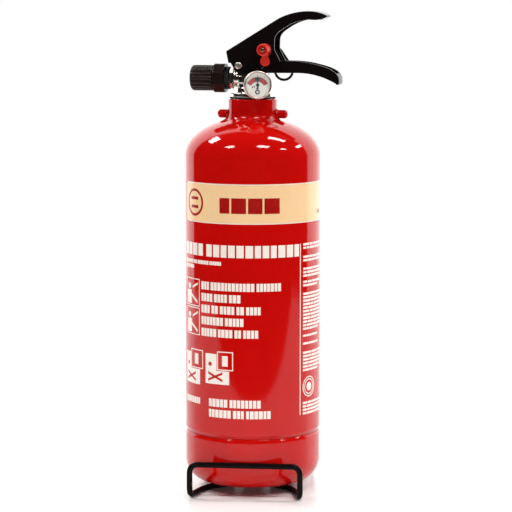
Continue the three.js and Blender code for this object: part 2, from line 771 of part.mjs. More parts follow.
// A printed band on the cylinder, a plate bent to its radius with round ends.
function labelBand() {
  const bore = CYL_R + GAP;
  const strip = ring(bore, bore + LABEL_THICK, LABEL_LOW_Z, LABEL_HIGH_Z, 72);
  const reach = 3 * CYL_R;
  const steps = 12;
  const wedge = new THREE.Shape();
  wedge.moveTo(0, 0);
  for (let i = 0; i <= steps; i++) {
    const angle = LABEL_FROM + ((LABEL_TO - LABEL_FROM) * i) / steps;
    wedge.lineTo(reach * Math.sin(angle), -reach * Math.cos(angle));
  }
  wedge.closePath();
  return strip.intersect(slab(wedge, LABEL_LOW_Z - 1, LABEL_HIGH_Z + 1));
}

const FINISHES = {
  red: { color: 0xb40f0c, roughness: 0.18, metalness: 0 },
  black: { color: 0x0b0b0c, roughness: 0.25, metalness: 0 },
  blackPlastic: { color: 0x141210, roughness: 0.4, metalness: 0 },
  nickel: { color: 0xc9c4bc, roughness: 0.15, metalness: 1 },
  steel: { color: 0x9d9a95, roughness: 0.3, metalness: 1 },
  brass: { color: 0xb58a45, roughness: 0.3, metalness: 1 },
  rubber: { color: 0x161616, roughness: 0.8, metalness: 0 },
  redPlastic: { color: 0xd4261c, roughness: 0.35, metalness: 0 },
  whitePlastic: { color: 0xe8e6de, roughness: 0.5, metalness: 0 },
  cream: { color: 0xebc896, roughness: 0.4, metalness: 0 },
  dial: { color: 0xe2e2de, roughness: 0.6, metalness: 0 },
  lens: { color: 0xf4f8fa, roughness: 0.05, metalness: 0, transparent: true, opacity: 0.35 },
};
const materials = Object.fromEntries(
  Object.entries(FINISHES).map(([name, look]) => [name, new THREE.MeshStandardMaterial(look)]),
);

const extinguisher = new THREE.Group();
const nozzle = new THREE.Group();
nozzle.position.z = NOZZLE_Z;
nozzle.rotation.y = -Math.PI / 2;
const gauge = new THREE.Group();
gauge.position.z = GAUGE_Z;
const gaugeOut = new THREE.Vector3(Math.sin(GAUGE_TURN), -Math.cos(GAUGE_TURN), 0);
const up = new THREE.Vector3(0, 0, 1);
const gaugeBasis = new THREE.Matrix4().makeBasis(up, gaugeOut.clone().cross(up), gaugeOut);
gauge.quaternion.setFromRotationMatrix(gaugeBasis);
const stand = new THREE.Group();
stand.rotation.z = STAND_TURN;
extinguisher.add(nozzle, gauge, stand);

function add(group, name, solid, finish) {
  const mesh = new THREE.Mesh(geometryOf(solid), materials[finish]);
  mesh.name = name;
  group.add(mesh);
  return mesh;
}

const lugLeft = hangingLug().rotate([0, -90, 0]).translate([0, 0, LUG_Z]);
const lugRight = hangingLug().rotate([0, 90, 0]).translate([0, 0, LUG_Z]);
const gasketLow = NECK_TOP_Z + GAP;

add(extinguisher, "cylinder_shell", cylinderShell(), "red");
add(extinguisher, "base_cap", baseCap(), "red");
add(extinguisher, "neck_ring", ring(NECK_BORE_R, NECK_R, NECK_BOTTOM_Z, NECK_TOP_Z), "red");
add(extinguisher, "hanging_lug_left", lugLeft, "red");
add(extinguisher, "hanging_lug_right", lugRight, "red");
add(extinguisher, "label_band", labelBand(), "cream");
const gasket = ring(NECK_BORE_R + 0.1, FLANGE_R + 0.6, gasketLow, gasketLow + GASKET_THICK);
add(extinguisher, "neck_gasket", gasket, "rubber");
add(extinguisher, "valve_body", valveBody(), "nickel");
const stemORing = ring(GUIDE_R + 0.1, O_RING_R, O_RING_Z, O_RING_Z + O_RING_HEIGHT, 24);
add(extinguisher, "stem_o_ring", stemORing, "rubber");
add(extinguisher, "valve_stem", valveStem(), "steel");
const sealLow = STEM_HEAD_Z + 2 + GAP;
add(extinguisher, "stem_seal", ring(STEM_R + GAP, STEM_HEAD_R, sealLow, SEAT_Z - 0.4, 24), "rubber");
add(extinguisher, "valve_spring", valveSpring(), "steel");
add(extinguisher, "siphon_adapter", siphonAdapter(), "whitePlastic");
const tubeTop = ADAPTER_STEP_Z - GAP;
add(extinguisher, "dip_tube", ring(TUBE_BORE_R, TUBE_R, TUBE_END_Z, tubeTop, 24), "whitePlastic");
add(extinguisher, "strainer", strainer(), "whitePlastic");

add(nozzle, "outlet_nipple", outletNipple(), "nickel");
const washer = ring(BARREL_R + GAP, WASHER_R, HEX_END + GAP, WASHER_END);
add(nozzle, "nozzle_washer", washer, "rubber");
add(nozzle, "nozzle_collar", nozzleCollar(), "blackPlastic");
add(nozzle, "nozzle_body", nozzleBody(), "blackPlastic");
add(nozzle, "nozzle_insert", ring(1, BARREL_R, BARREL_END + 4, BARREL_END + 8, 24), "whitePlastic");

add(gauge, "gauge_stem", gaugeStem(), "brass");
add(gauge, "gauge_case", gaugeCase(), "nickel");
add(gauge, "gauge_bourdon", gaugeBourdon(), "brass");
add(gauge, "gauge_dial", ring(1.1, DIAL_R, DIAL_BACK, DIAL_BACK + DIAL_THICK), "dial");
add(gauge, "gauge_needle", gaugeNeedle(), "black");
add(gauge, "gauge_lens", rod(DIAL_R, GAUGE_FRONT - 1.8, GAUGE_FRONT - 1, 28), "lens");

add(extinguisher, "carry_handle", carryHandle(), "black");
add(extinguisher, "squeeze_lever", squeezeLever(), "black");
add(extinguisher, "pivot_rivet", alongY(pivotRivet(), RIVET.x, RIVET.z), "steel");
const fixingReach = HANDLE_HALF_Y - 0.2;
const fixing = rod(FIXING_PIN.r, -fixingReach, fixingReach, 12);
add(extinguisher, "handle_pin", alongY(fixing, FIXING_PIN.x, FIXING_PIN.z), "steel");
add(extinguisher, "safety_pin", safetyPin(), "steel");
add(extinguisher, "pull_ring", pullRing(), "blackPlastic");
add(extinguisher, "tamper_seal", tamperSeal(), "redPlastic");

add(stand, "wire_stand", wireStand(), "black");

export default extinguisher;
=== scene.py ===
"""A red two-litre fire extinguisher on its wire stand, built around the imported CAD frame.

Lengths below are millimetres and become metres where a mesh is made. +Z is up, the handle reaches
along +X, the nozzle along -X, and the gauge is on the -Y side.
"""

import math
import random

import bmesh
import bpy
from mathutils import Matrix, Vector


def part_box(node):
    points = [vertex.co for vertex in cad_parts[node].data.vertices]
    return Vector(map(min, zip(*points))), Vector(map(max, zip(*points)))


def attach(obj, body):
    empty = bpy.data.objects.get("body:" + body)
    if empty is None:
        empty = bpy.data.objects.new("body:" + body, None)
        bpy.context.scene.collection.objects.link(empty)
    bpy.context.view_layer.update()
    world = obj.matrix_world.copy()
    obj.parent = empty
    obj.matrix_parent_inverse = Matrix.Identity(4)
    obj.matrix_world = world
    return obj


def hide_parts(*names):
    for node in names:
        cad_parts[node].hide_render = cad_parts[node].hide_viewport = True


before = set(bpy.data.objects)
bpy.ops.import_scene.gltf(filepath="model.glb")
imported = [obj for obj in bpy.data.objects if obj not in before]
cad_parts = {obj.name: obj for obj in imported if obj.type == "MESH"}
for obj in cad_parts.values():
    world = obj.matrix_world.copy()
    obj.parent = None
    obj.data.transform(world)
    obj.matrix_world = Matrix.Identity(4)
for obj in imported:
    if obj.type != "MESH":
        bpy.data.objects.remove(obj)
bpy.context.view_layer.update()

MM = 0.001
SEED = 11


def extent(node):
    """Lowest and highest corner of a CAD node in millimetres."""
    low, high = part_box(node)
    return low / MM, high / MM


# ------------ dimensions

GAP = 0.3
WALL = 1.5
SHEET = 2.0

CYL_R = extent("cylinder_shell")[1].x
SHELL_LOW_Z = extent("cylinder_shell")[0].z
CAP_TOP_Z = SHELL_LOW_Z - 1.2
SKIRT_TOP_Z = extent("base_cap")[1].z
SKIRT_R = CYL_R - 1.8
SHOULDER_Z = 271.0
SHOULDER_RISE = 32.0
KNUCKLE_R = 19.0
KNUCKLE_Z = 24.2
CROWN_Z = KNUCKLE_Z - KNUCKLE_R

NECK_R = extent("neck_ring")[1].x
NECK_BORE_R = 15.2
NECK_LOW_Z = extent("neck_ring")[0].z
NECK_TOP_Z = extent("neck_ring")[1].z
WELD_TOP_Z = 305.2
WELD_TOE_R = 24.2
LUG_R = 3.5
LUG_END_X = extent("hanging_lug_right")[1].x
LUG_Z = 304.6
GASKET_LOW_Z = extent("neck_gasket")[0].z
GASKET_TOP_Z = extent("neck_gasket")[1].z

THREAD_R = 14.9
FLANGE_R = 18.0
FLANGE_Z = GASKET_TOP_Z + GAP
FLANGE_TOP_Z = FLANGE_Z + 3.2
BODY_R = 12.4
BODY_TOP_Z = 335.6
HEAD_TOP_Z = extent("valve_body")[1].z
HEAD_HALF_Y = 6.8
HEAD_END_X = 12.6
CHAMBER_R = 7.2
SEAT_Z = 330.5
O_RING_Z = (340.0, 342.4)
O_RING_GROOVE_R = 5.2
WAIST_Z = (325.5, 329.9)
WAIST_DEPTH = 0.7
PASSAGE_R = 4.4
PASSAGE_TOP_Z = 336.5
GUIDE_R = 3.0
STEM_R = 2.7
STEM_HEAD_R = 6.2
STEM_LOW_Z = extent("valve_stem")[0].z
STEM_DOME_Z = extent("valve_stem")[1].z - STEM_R

NOZZLE_Z = 333.3
OUTLET_R = 7.6
OUTLET_END = 14.3
OUTLET_BORE_R = 5.2
STUB_START = 6.0
NIPPLE_END = 10.8
NIPPLE_R = 4.9
NIPPLE_BORE_R = 2.4
HEX_R = 8.6
HEX_END = 18.2
WASHER_R = 9.2
WASHER_END = 21.7
COLLAR_R = 12.4  # at the corners
COLLAR_SIDES = 8
COLLAR_END = 30.9
NOZZLE_R = 10.4
NOZZLE_END = -extent("nozzle_body")[0].x
NOZZLE_FLUTES = 18
FLUTE_DEPTH = 0.7
FLUTE_STEPS = 10
ORIFICE_R = 1.8
BARREL_R = 5.4
BARREL_END = 34.4

GAUGE_Z = 328.7
GAUGE_TURN = math.radians(22)
GAUGE_R = 11.4
GAUGE_BACK = 19.1
GAUGE_FRONT = 28.0
GAUGE_BOSS_R = 6.2
GAUGE_BOSS_END = 13.2
GAUGE_PORT_R = 3.2
GAUGE_HEX_R = 6.6
SHANK_R = (2.9, 2.2)
SHANK_START = 9.4
NEEDLE_LENGTH = 7.6
NEEDLE_TAIL = 2.6
DIAL_R = 10.1
DIAL_AT = GAUGE_BACK + 5.2
LENS_AT = GAUGE_FRONT - 1.8
ZONE_CENTRE = -2.9  # the dial's zones are arcs about a point below its middle
ZONE_IN = 6.0
ZONE_OUT = 8.8
ZONE_GOOD = 16.0  # half the angle of the middle zone
ZONE_SPAN = 62.0  # half the angle of all zones
ZONE_THICK = 0.08
MARK_THICK = 0.04
DIAL_MARKS = (  # inner and outer radius, start and end angle, thickness, rise
    (0.9, 2.0, 0, 360, MARK_THICK, -5.6),
    (2.6, 3.5, 160, 200, MARK_THICK),
    (2.4, 3.4, 106, 128, MARK_THICK),
    (3.9, 4.9, 106, 120, MARK_THICK),
)
LENS_RISE = 0.22

LEVER_HALF_Y = extent("squeeze_lever")[1].y
HANDLE_HALF_Y = extent("carry_handle")[1].y
RIVET = (-9.1, 343.7)
RIVET_HOLE_R = 2.5
RIVET_R = 2.2
RIVET_HEAD_R = 3.0
LOBE = (-6.8, 343.5)
LOBE_R = 6.9
FIXING_PIN = (9.5, 343.0)
FIXING_HOLE_R = 1.8
HANDLE_WEB_Z = 337.6
HANDLE_TIP_X = 72.4
LEVER_TIP_X = 63.0
LEVER_BEND = (21.5, 380.2)
LEVER_SLOPE = math.radians(30.5)
THROUGH_Y = 20.0  # half length of the cutters that pass through both handles
PLAN_BACK_X = -30.0  # the handles' plans start here, behind their rear ends
PLAN_LOW_Z = 320.0
LEVER_PLAN_TOP_Z = 400.0
HANDLE_PLAN_TOP_Z = 380.0
CUT_LOW_Z = 330.0  # the cuts inside the handles start here
CUT_BACK_X = -20.0
CUT_TOP_Z = 370.0
ROOM_TOP_Z = 345.0  # top of the room for the valve's head
FOLD_R = 1.1
EDGE_R = 0.35

PIN = (13.1, 356.5)
PIN_R = 1.5
PIN_HOLE_R = 1.85
LEVER_TRAVEL = math.radians(13)
PIN_FRONT_Y = extent("safety_pin")[0].y
EYE_Y = 18.5
EYE_R = 3.4
EYE_HALF_THICK = 1.5
RING_WIRE_R = 0.95
RING_LENGTH = 27.0
RING_TOP_R = 5.2
RING_FOOT_R = 7.3
RING_LEAN = math.radians(26)
SEAL_R = 4.9
SEAL_FRONT_Y = extent("tamper_seal")[0].y
SEAL_BACK_Y = -LEVER_HALF_Y - 0.5
TAIL_Z = 347.1
TAIL_R = 3.8
TAIL_NECK = 2.85
TAIL_THICK = 1.6
TAIL_PINCH = 0.6

STAND_TURN = math.radians(6.5)
STAND_WIRE_R = 2.3
STAND_HALF_X = 44.3
STAND_HALF_Y = CYL_R + STAND_WIRE_R + GAP
STAND_TOP_Z = 27.3

BAND_LOW_Z = extent("label_band")[0].z
BAND_HIGH_Z = extent("label_band")[1].z
BAND_FROM = -59.0  # degrees from -Y towards +X, as all angles of the print
BAND_TO = 163.0

# ------------ mesh helpers

SOFT_ANGLE = math.radians(14)  # gentler corners than this aren't rounded
HELD_LENGTH = 4.0  # longer stretches get extra points
HELD_MARGIN = 0.8  # this far from their ends


def smooth(mesh, degrees=32):
    """Shades smooth across gentle turns and keeps the sharper edges."""
    mesh.shade_smooth()
    mesh.set_sharp_from_angle(angle=math.radians(degrees))


def point_outwards(mesh):
    """Points all normals out of the solid."""
    work = bmesh.new()
    work.from_mesh(mesh)
    bmesh.ops.recalc_face_normals(work, faces=work.faces)
    work.to_mesh(mesh)
    work.free()


def add_object(name, data):
    obj = bpy.data.objects.new(name, data)
    bpy.context.scene.collection.objects.link(obj)
    return obj


def mesh_object(name, vertices, faces, degrees=32):
    """A mesh object from millimetre coordinates, with its normals outwards."""
    mesh = bpy.data.meshes.new(name)
    mesh.from_pydata([tuple(Vector(v) * MM) for v in vertices], [], faces)
    point_outwards(mesh)
    smooth(mesh, degrees)
    return add_object(name, mesh)


def place(obj, matrix):
    """Moves the vertices themselves, and leaves the object at the origin. The shift is millimetres."""
    scaled = matrix.copy()
    scaled.translation = matrix.translation * MM
    obj.data.transform(scaled)
    return obj


def curve(start, corner, end, steps):
    """Points from start to end, bent towards the corner."""
    points = []
    for k in range(steps + 1):
        t = k / steps
        points.append(start * (1 - t) ** 2 + corner * 2 * t * (1 - t) + end * t * t)
    return points


def soften(points, radius, closed):
    """Rounds the corners of a 2-D line. A point may carry its own radius as a third number."""
    result = []
    count = len(points)
    for i, point in enumerate(points):
        at = Vector(point[:2])
        own = point[2] if len(point) > 2 else radius
        before = Vector(points[i - 1][:2]) - at
        after = Vector(points[(i + 1) % count][:2]) - at
        is_end = not closed and i in (0, count - 1)
        if is_end or own == 0 or before.angle(-after) < SOFT_ANGLE:
            result.append(at)
            continue
        reach = min(own, 0.45 * before.length, 0.45 * after.length)
        start = at + before.normalized() * reach
        end = at + after.normalized() * reach
        result.extend(curve(start, at, end, 4))
    return result


def arc(centre, a, b, start, end, steps):
    """Points on an ellipse in the plane, angles in degrees."""
    points = []
    for i in range(steps + 1):
        angle = math.radians(start + (end - start) * i / steps)
        points.append((centre[0] + a * math.cos(angle), centre[1] + b * math.sin(angle), 0))
    return points


def hold(line, closed):
    """Adds points near both ends of every long stretch, so that it stays straight in shading."""
    result = []
    count = len(line)
    for i, point in enumerate(line):
        result.append(point)
        if i == count - 1 and not closed:
            break
        step = line[(i + 1) % count] - point
        if step.length > HELD_LENGTH:
            share = HELD_MARGIN / step.length
            result.append(point + step * share)
            result.append(point + step * (1 - share))
    return result


def quads(rows, sides, closed=False):
    """Faces between rows of vertices, each row a ring of the same size."""
    faces = []
    for i in range(rows if closed else rows - 1):
        low = i * sides
        high = (i + 1) % rows * sides
        for k in range(sides):
            n = (k + 1) % sides
            faces.append((low + k, low + n, high + n, high + k))
    return faces


def lathe(name, profile, radius=0.4, sides=96):
    """A solid of revolution about Z from (r, z) points, on the axis at both ends or a closed loop."""
    on_axis = profile[0][0] == 0
    line = hold(soften(profile, radius, not on_axis), not on_axis)
    body = line[1:-1] if on_axis else line
    vertices = [(x, y, z) for r, z in body for x, y in polygon(r, sides)]
    faces = quads(len(body), sides, closed=not on_axis)
    if on_axis:
        foot = len(vertices)
        last_row = foot - sides
        vertices += [(0, 0, line[0].y), (0, 0, line[-1].y)]
        for k in range(sides):
            n = (k + 1) % sides
            faces.append((foot, n, k))
            faces.append((last_row + k, last_row + n, foot + 1))
    return mesh_object(name, vertices, faces)


def prism(name, outline, low, high):
    """An outline in X-Y given height along Z."""
    count = len(outline)
    vertices = [(p[0], p[1], low) for p in outline] + [(p[0], p[1], high) for p in outline]
    ends = [tuple(range(count)), tuple(range(2 * count - 1, count - 1, -1))]
    return mesh_object(name, vertices, ends + quads(2, count))


def plate(name, outline, half, middle=0.0):
    """An outline in X-Z given depth along Y."""
    obj = prism(name, outline, -half, half)
    place(obj, Matrix(((1, 0, 0, 0), (0, 0, 1, middle), (0, 1, 0, 0), (0, 0, 0, 1))))
    point_outwards(obj.data)
    smooth(obj.data)
    return obj


def polygon(r, sides, turn=0.0):
    """A regular polygon with its corners at r."""
    angles = [turn + 2 * math.pi * i / sides for i in range(sides)]
    return [(r * math.cos(a), r * math.sin(a)) for a in angles]


def along_y(obj, x, z):
    """Lays a piece that was turned about Z along Y, through (x, z)."""
    return place(obj, Matrix.Translation((x, 0, z)) @ Matrix.Rotation(math.radians(-90), 4, "X"))


def along_nozzle(obj):
    """Lays a piece that was turned about Z along -X, at the nozzle's height."""
    outward = Matrix.Rotation(math.radians(-90), 4, "Y")
    return place(obj, Matrix.Translation((0, 0, NOZZLE_Z)) @ outward)


def on_gauge(obj):
    """Lays a piece on the gauge's axis: its X becomes up, and its Z points out of the dial."""
    up = Vector((0, 0, 1))
    out = Vector((math.sin(GAUGE_TURN), -math.cos(GAUGE_TURN), 0))
    basis = Matrix((up, out.cross(up), out)).transposed().to_4x4()
    return place(obj, Matrix.Translation((0, 0, GAUGE_Z)) @ basis)


def rod(name, r, low, high, sides=48):
    return prism(name, polygon(r, sides), low, high)


def through_hole(r, at, sides=48):
    """A round cutter along Y that passes through both handles."""
    return along_y(rod("hole", r, -THROUGH_Y, THROUGH_Y, sides), *at)


def on_port(obj):
    """Lays a round piece that was turned about Z on the valve's gauge port."""
    outward = Matrix.Rotation(math.radians(90), 4, "X")
    place(obj, Matrix.Translation((0, 0, GAUGE_Z)) @ outward)
    return place(obj, Matrix.Rotation(GAUGE_TURN, 4, "Z"))


def stub(name, r, end, edge):
    """A round stub out of the valve, before it is laid along its axis."""
    return lathe(name, [(0, STUB_START), (r, STUB_START), (r, end, edge), (0, end)], sides=64)


def box_solid(name, low, high):
    outline = [(low[0], low[1]), (high[0], low[1]), (high[0], high[1]), (low[0], high[1])]
    return prism(name, outline, low[2], high[2])


def combine(obj, operation, *tools):
    """Adds, cuts or intersects the tools, and removes them."""
    for tool in tools:
        modifier = obj.modifiers.new("combine", "BOOLEAN")
        modifier.operation = operation
        modifier.solver = "EXACT"
        modifier.object = tool
    view = bpy.context.evaluated_depsgraph_get()
    result = bpy.data.meshes.new_from_object(obj.evaluated_get(view))
    obj.modifiers.clear()
    obj.data = result
    for tool in tools:
        bpy.data.objects.remove(tool)
    smooth(obj.data)
    return obj


def bevel(obj, width, degrees=40):
    """Rounds the sharp edges, with the flat faces kept flat in shading."""
    modifier = obj.modifiers.new("bevel", "BEVEL")
    modifier.width = width * MM
    modifier.segments = 3
    modifier.limit_method = "ANGLE"
    modifier.angle_limit = math.radians(degrees)
    modifier.use_clamp_overlap = False
    modifier.miter_outer = "MITER_ARC"
    obj.modifiers.new("weighted", "WEIGHTED_NORMAL").keep_sharp = True
    return obj


def tube(name, path, radius, sides):
    """A round wire along a line of points, with slightly rounded ends."""
    points = [Vector(p) for p in path]
    last = len(points) - 1
    directions = []
    for i in range(last + 1):
        directions.append((points[min(i + 1, last)] - points[max(i - 1, 0)]).normalized())
    start = Vector((0, 0, 1))
    if abs(directions[0].dot(start)) > 0.9:
        start = Vector((1, 0, 0))
    normal = directions[0].cross(start).normalized()
    edge = 0.25 * radius
    vertices = []
    for i, (centre, direction) in enumerate(zip(points, directions)):
        normal = (normal - direction * normal.dot(direction)).normalized()
        across = direction.cross(normal).normalized()
        rows = [(centre, radius)]
        if i == 0:
            rows = [(centre, radius - edge), (centre + direction * edge, radius)]
        elif i == last:
            rows = [(centre - direction * edge, radius), (centre, radius - edge)]
        for middle, r in rows:
            for c, s in polygon(r, sides):
                vertices.append(middle + normal * c + across * s)
    end = len(vertices)
    ends = [tuple(range(sides)), tuple(range(end - 1, end - 1 - sides, -1))]
    return mesh_object(name, vertices, ends + quads(end // sides, sides))


def rounded_path(corners, steps):
    """Straight stretches between the points, with each inner corner rounded over its own length."""
    at = [Vector(c[:3]) for c in corners]
    path = [at[0]]
    for i in range(1, len(at) - 1):
        reach = corners[i][3]
        before = at[i] + (at[i - 1] - at[i]).normalized() * reach
        after = at[i] + (at[i + 1] - at[i]).normalized() * reach
        path.extend(curve(before, at[i], after, steps))
    path.append(at[-1])
    return path


class Outline:
    """A 2-D outline drawn from one point to the next."""

    def __init__(self, x, z):
        self.points = [(x, z)]

    def line(self, x, z):
        self.points.append((x, z))
        return self

    def cubic(self, x1, z1, x2, z2, x3, z3, steps=22):
        a, b, c, d = (Vector(p) for p in (self.points[-1], (x1, z1), (x2, z2), (x3, z3)))
        for i in range(1, steps + 1):
            t = i / steps
            u = 1 - t
            point = a * u**3 + b * 3 * u * u * t + c * 3 * u * t * t + d * t**3
            self.points.append(tuple(point))
        return self

    def quadratic(self, x1, z1, x2, z2, steps=8):
        a, b, c = (Vector(p) for p in (self.points[-1], (x1, z1), (x2, z2)))
        self.points.extend(tuple(point) for point in curve(a, b, c, steps)[1:])
        return self

    def around(self, centre, r, start, end, steps=20):
        self.points.extend(point[:2] for point in arc(centre, r, r, start, end, steps))
        return self


# ------------ materials


UNEVEN = 0.25  # how far the roughness varies, as a share


def set_inputs(node, values):
    for socket, value in values.items():
        node.inputs[socket].default_value = value


def finish_material(
    name, color, roughness, metallic=0.0, patch=60.0, tint=0.06, grain=900.0, relief=0.02,
    specular=0.5, ior=1.5,
):
    """A procedural finish: uneven roughness and tint in patches, and a fine grain in relief."""
    material = bpy.data.materials.new(name)
    material.use_nodes = True
    tree = material.node_tree
    link = tree.links.new
    shader = tree.nodes["Principled BSDF"]
    set_inputs(shader, {"Metallic": metallic, "Specular IOR Level": specular, "IOR": ior})
    place_on = tree.nodes.new("ShaderNodeTexCoord").outputs["Object"]

    noises = []
    for scale, detail in ((patch, 4.0), (grain, 3.0)):
        noise = tree.nodes.new("ShaderNodeTexNoise")
        set_inputs(noise, {"Scale": scale, "Detail": detail})
        link(place_on, noise.inputs["Vector"])
        noises.append(noise.outputs["Fac"])
    patches, fine = noises

    gloss = tree.nodes.new("ShaderNodeMapRange")
    set_inputs(gloss, {"From Min": 0.3, "From Max": 0.7})
    set_inputs(gloss, {"To Min": roughness * (1 - UNEVEN), "To Max": roughness * (1 + UNEVEN)})
    link(patches, gloss.inputs["Value"])
    link(gloss.outputs["Result"], shader.inputs["Roughness"])

    mix = tree.nodes.new("ShaderNodeMix")
    mix.data_type = "RGBA"
    for socket, share in (("A", 1 - tint), ("B", 1 + tint)):
        mix.inputs[socket].default_value = (*[min(1, c * share) for c in color], 1)
    link(patches, mix.inputs["Factor"])
    link(mix.outputs["Result"], shader.inputs["Base Color"])

    bump = tree.nodes.new("ShaderNodeBump")
    set_inputs(bump, {"Strength": 1.0, "Distance": relief * MM})
    link(fine, bump.inputs["Height"])
    link(bump.outputs["Normal"], shader.inputs["Normal"])
    return material


FINISHES = {
    "red_enamel": dict(
        color=(0.55, 0.0035, 0.0025), roughness=0.07, grain=260, relief=0.012, specular=0.42
    ),
    "cream_print": dict(color=(0.95, 0.85, 0.78), roughness=0.22, relief=0.02),
    "rubber": dict(color=(0.015, 0.015, 0.015), roughness=0.75, relief=0.08),
    "nickel_plate": dict(
        color=(0.74, 0.69, 0.64), roughness=0.2, metallic=1, grain=420, relief=0.09
    ),
    "steel": dict(color=(0.6, 0.56, 0.5), roughness=0.28, metallic=1, relief=0.03),
    "white_plastic": dict(color=(0.8, 0.79, 0.75), roughness=0.45, relief=0.03),
    "black_plastic": dict(
        color=(0.013, 0.007, 0.006), roughness=0.3, grain=1500, relief=0.03, specular=0.2
    ),
    "brass": dict(color=(0.56, 0.34, 0.1), roughness=0.28, metallic=1, relief=0.03),
    "dial_face": dict(color=(0.96, 0.92, 0.88), roughness=0.5, tint=0.02, relief=0.01),
    "black_coat": dict(
        color=(0.006, 0.004, 0.004), roughness=0.2, grain=700, relief=0.02, specular=0.25, ior=1.22
    ),
    "red_plastic": dict(color=(0.72, 0.03, 0.018), roughness=0.33, relief=0.02),
}
materials = {slot: finish_material(slot, **look) for slot, look in FINISHES.items()}
band_paint = finish_material("band_paint", (0.97, 0.65, 0.35), 0.2, tint=0.03, relief=0.015)
band_ink = finish_material("band_ink", (0.38, 0.006, 0.004), 0.25, tint=0.05)
bezel_metal = finish_material(
    "bezel_metal", (0.88, 0.8, 0.73), 0.42, metallic=1, grain=420, relief=0.03
)
dial_red = finish_material("dial_red", (0.55, 0.012, 0.02), 0.45, tint=0.04)
dial_green = finish_material("dial_green", (0.012, 0.045, 0.02), 0.45, tint=0.04)
dial_black = finish_material("dial_black", (0.015, 0.015, 0.016), 0.4, tint=0.04)
clear_lens = finish_material("clear_lens", (0.9, 0.93, 0.95), 0.04, tint=0.01, relief=0.004)
set_inputs(clear_lens.node_tree.nodes["Principled BSDF"], {"Alpha": 0.05})  # mostly see-through
materials["clear_lens"] = clear_lens


def piece(obj, slot, *nodes, body="vessel", material=None):
    """Gives a piece its finish and its body, and hides the CAD nodes that it stands for."""
    obj.data.materials.clear()
    obj.data.materials.append(material or materials[slot])
    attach(obj, body)
    if nodes:
        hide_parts(*nodes)
    return obj


# ------------ cylinder


def shoulder(inset, opening, steps):
    """The quarter ellipse from the wall in to the neck's opening."""
    a = CYL_R - inset
    end = math.degrees(math.acos(opening / a))
    return arc((0, SHOULDER_Z), a, SHOULDER_RISE - inset, 0, end, steps)


def shoulder_z(r):
    return SHOULDER_Z + SHOULDER_RISE * math.sqrt(1 - (r / CYL_R) ** 2)


def groove_side(z, up):
    """The rolled edge of the wall where it turns into the joint's groove at height z."""
    steps = ((1.15, 0), (1.0, 0.45), (0.55, 1.1), (0.2, 1.75), (0, 2.7))
    return [(CYL_R - inward, z + up * rise, 0.4) for inward, rise in steps]


def build_cylinder():
    opening = NECK_R + GAP
    outside = [*groove_side(SHELL_LOW_Z, 1), *shoulder(0, opening, 48)]
    inside = [(CYL_R - WALL, SHELL_LOW_Z, 0.5), *shoulder(WALL, opening, 30)]
    shell = lathe("shell_body", outside + inside[::-1], sides=192)
    piece(shell, "red_enamel", "cylinder_shell")

    centre = CYL_R - KNUCKLE_R
    cap = [
        (0, 0), (4.2, 0, 1.2), (8.6, 1.7, 2.2), (11.5, CROWN_Z, 2.4),
        *arc((centre, KNUCKLE_Z), KNUCKLE_R, KNUCKLE_R, -90, 0, 28),
        *reversed(groove_side(CAP_TOP_Z, -1)),
        (SKIRT_R, CAP_TOP_Z, 0.2), (SKIRT_R, SKIRT_TOP_Z), (SKIRT_R - WALL, SKIRT_TOP_Z),
        (SKIRT_R - WALL, CAP_TOP_Z - WALL, 1), (CYL_R - WALL, CAP_TOP_Z - WALL - 1.8, 1),
        *arc((centre, KNUCKLE_Z), KNUCKLE_R - WALL, KNUCKLE_R - WALL, 0, -90, 16),
        (10.9, CROWN_Z + WALL), (7.9, 1.8 + WALL), (5, WALL), (0, WALL),
    ]
    piece(lathe("base_dish", cap, sides=192), "red_enamel", "base_cap")

    neck = [
        (NECK_BORE_R, NECK_LOW_Z), (NECK_R, NECK_LOW_Z),
        (NECK_R, NECK_TOP_Z, 0.7), (NECK_BORE_R, NECK_TOP_Z, 0.5),
    ]
    piece(lathe("neck_collar", neck), "red_enamel", "neck_ring")

    bead_r = NECK_R + 0.12
    corner_r = NECK_R + 0.5
    top = Vector((bead_r, WELD_TOP_Z))
    corner = Vector((corner_r, shoulder_z(corner_r) + 0.4))
    foot = Vector((WELD_TOE_R, shoulder_z(WELD_TOE_R) + 0.05))
    bead = [(NECK_R - 0.4, NECK_LOW_Z + 3), (bead_r, WELD_TOP_Z, 0.3)]
    bead += [(r, z, 0) for r, z in curve(top, corner, foot, 10)[1:]]
    bead.append((WELD_TOE_R - 1, shoulder_z(WELD_TOE_R) - 0.6))
    piece(lathe("neck_weld", bead), "red_enamel")

    profile = [
        (0, NECK_R + 0.1), (LUG_R + 1.0, NECK_R + 0.1), (LUG_R, NECK_R + 1.3, 1.0),
        (LUG_R, LUG_END_X - 1.7, 1.6), (LUG_R * 0.5, LUG_END_X - 0.05, 1), (0, LUG_END_X),
    ]
    for side, quarter in (("right", 90), ("left", -90)):
        peg = lathe(f"peg_{side}", profile, sides=48)
        turn = Matrix.Rotation(math.radians(quarter), 4, "Y")
        place(peg, Matrix.Translation((0, 0, LUG_Z)) @ turn)
        piece(peg, "red_enamel", f"hanging_lug_{side}")


# ------------ print on the wall


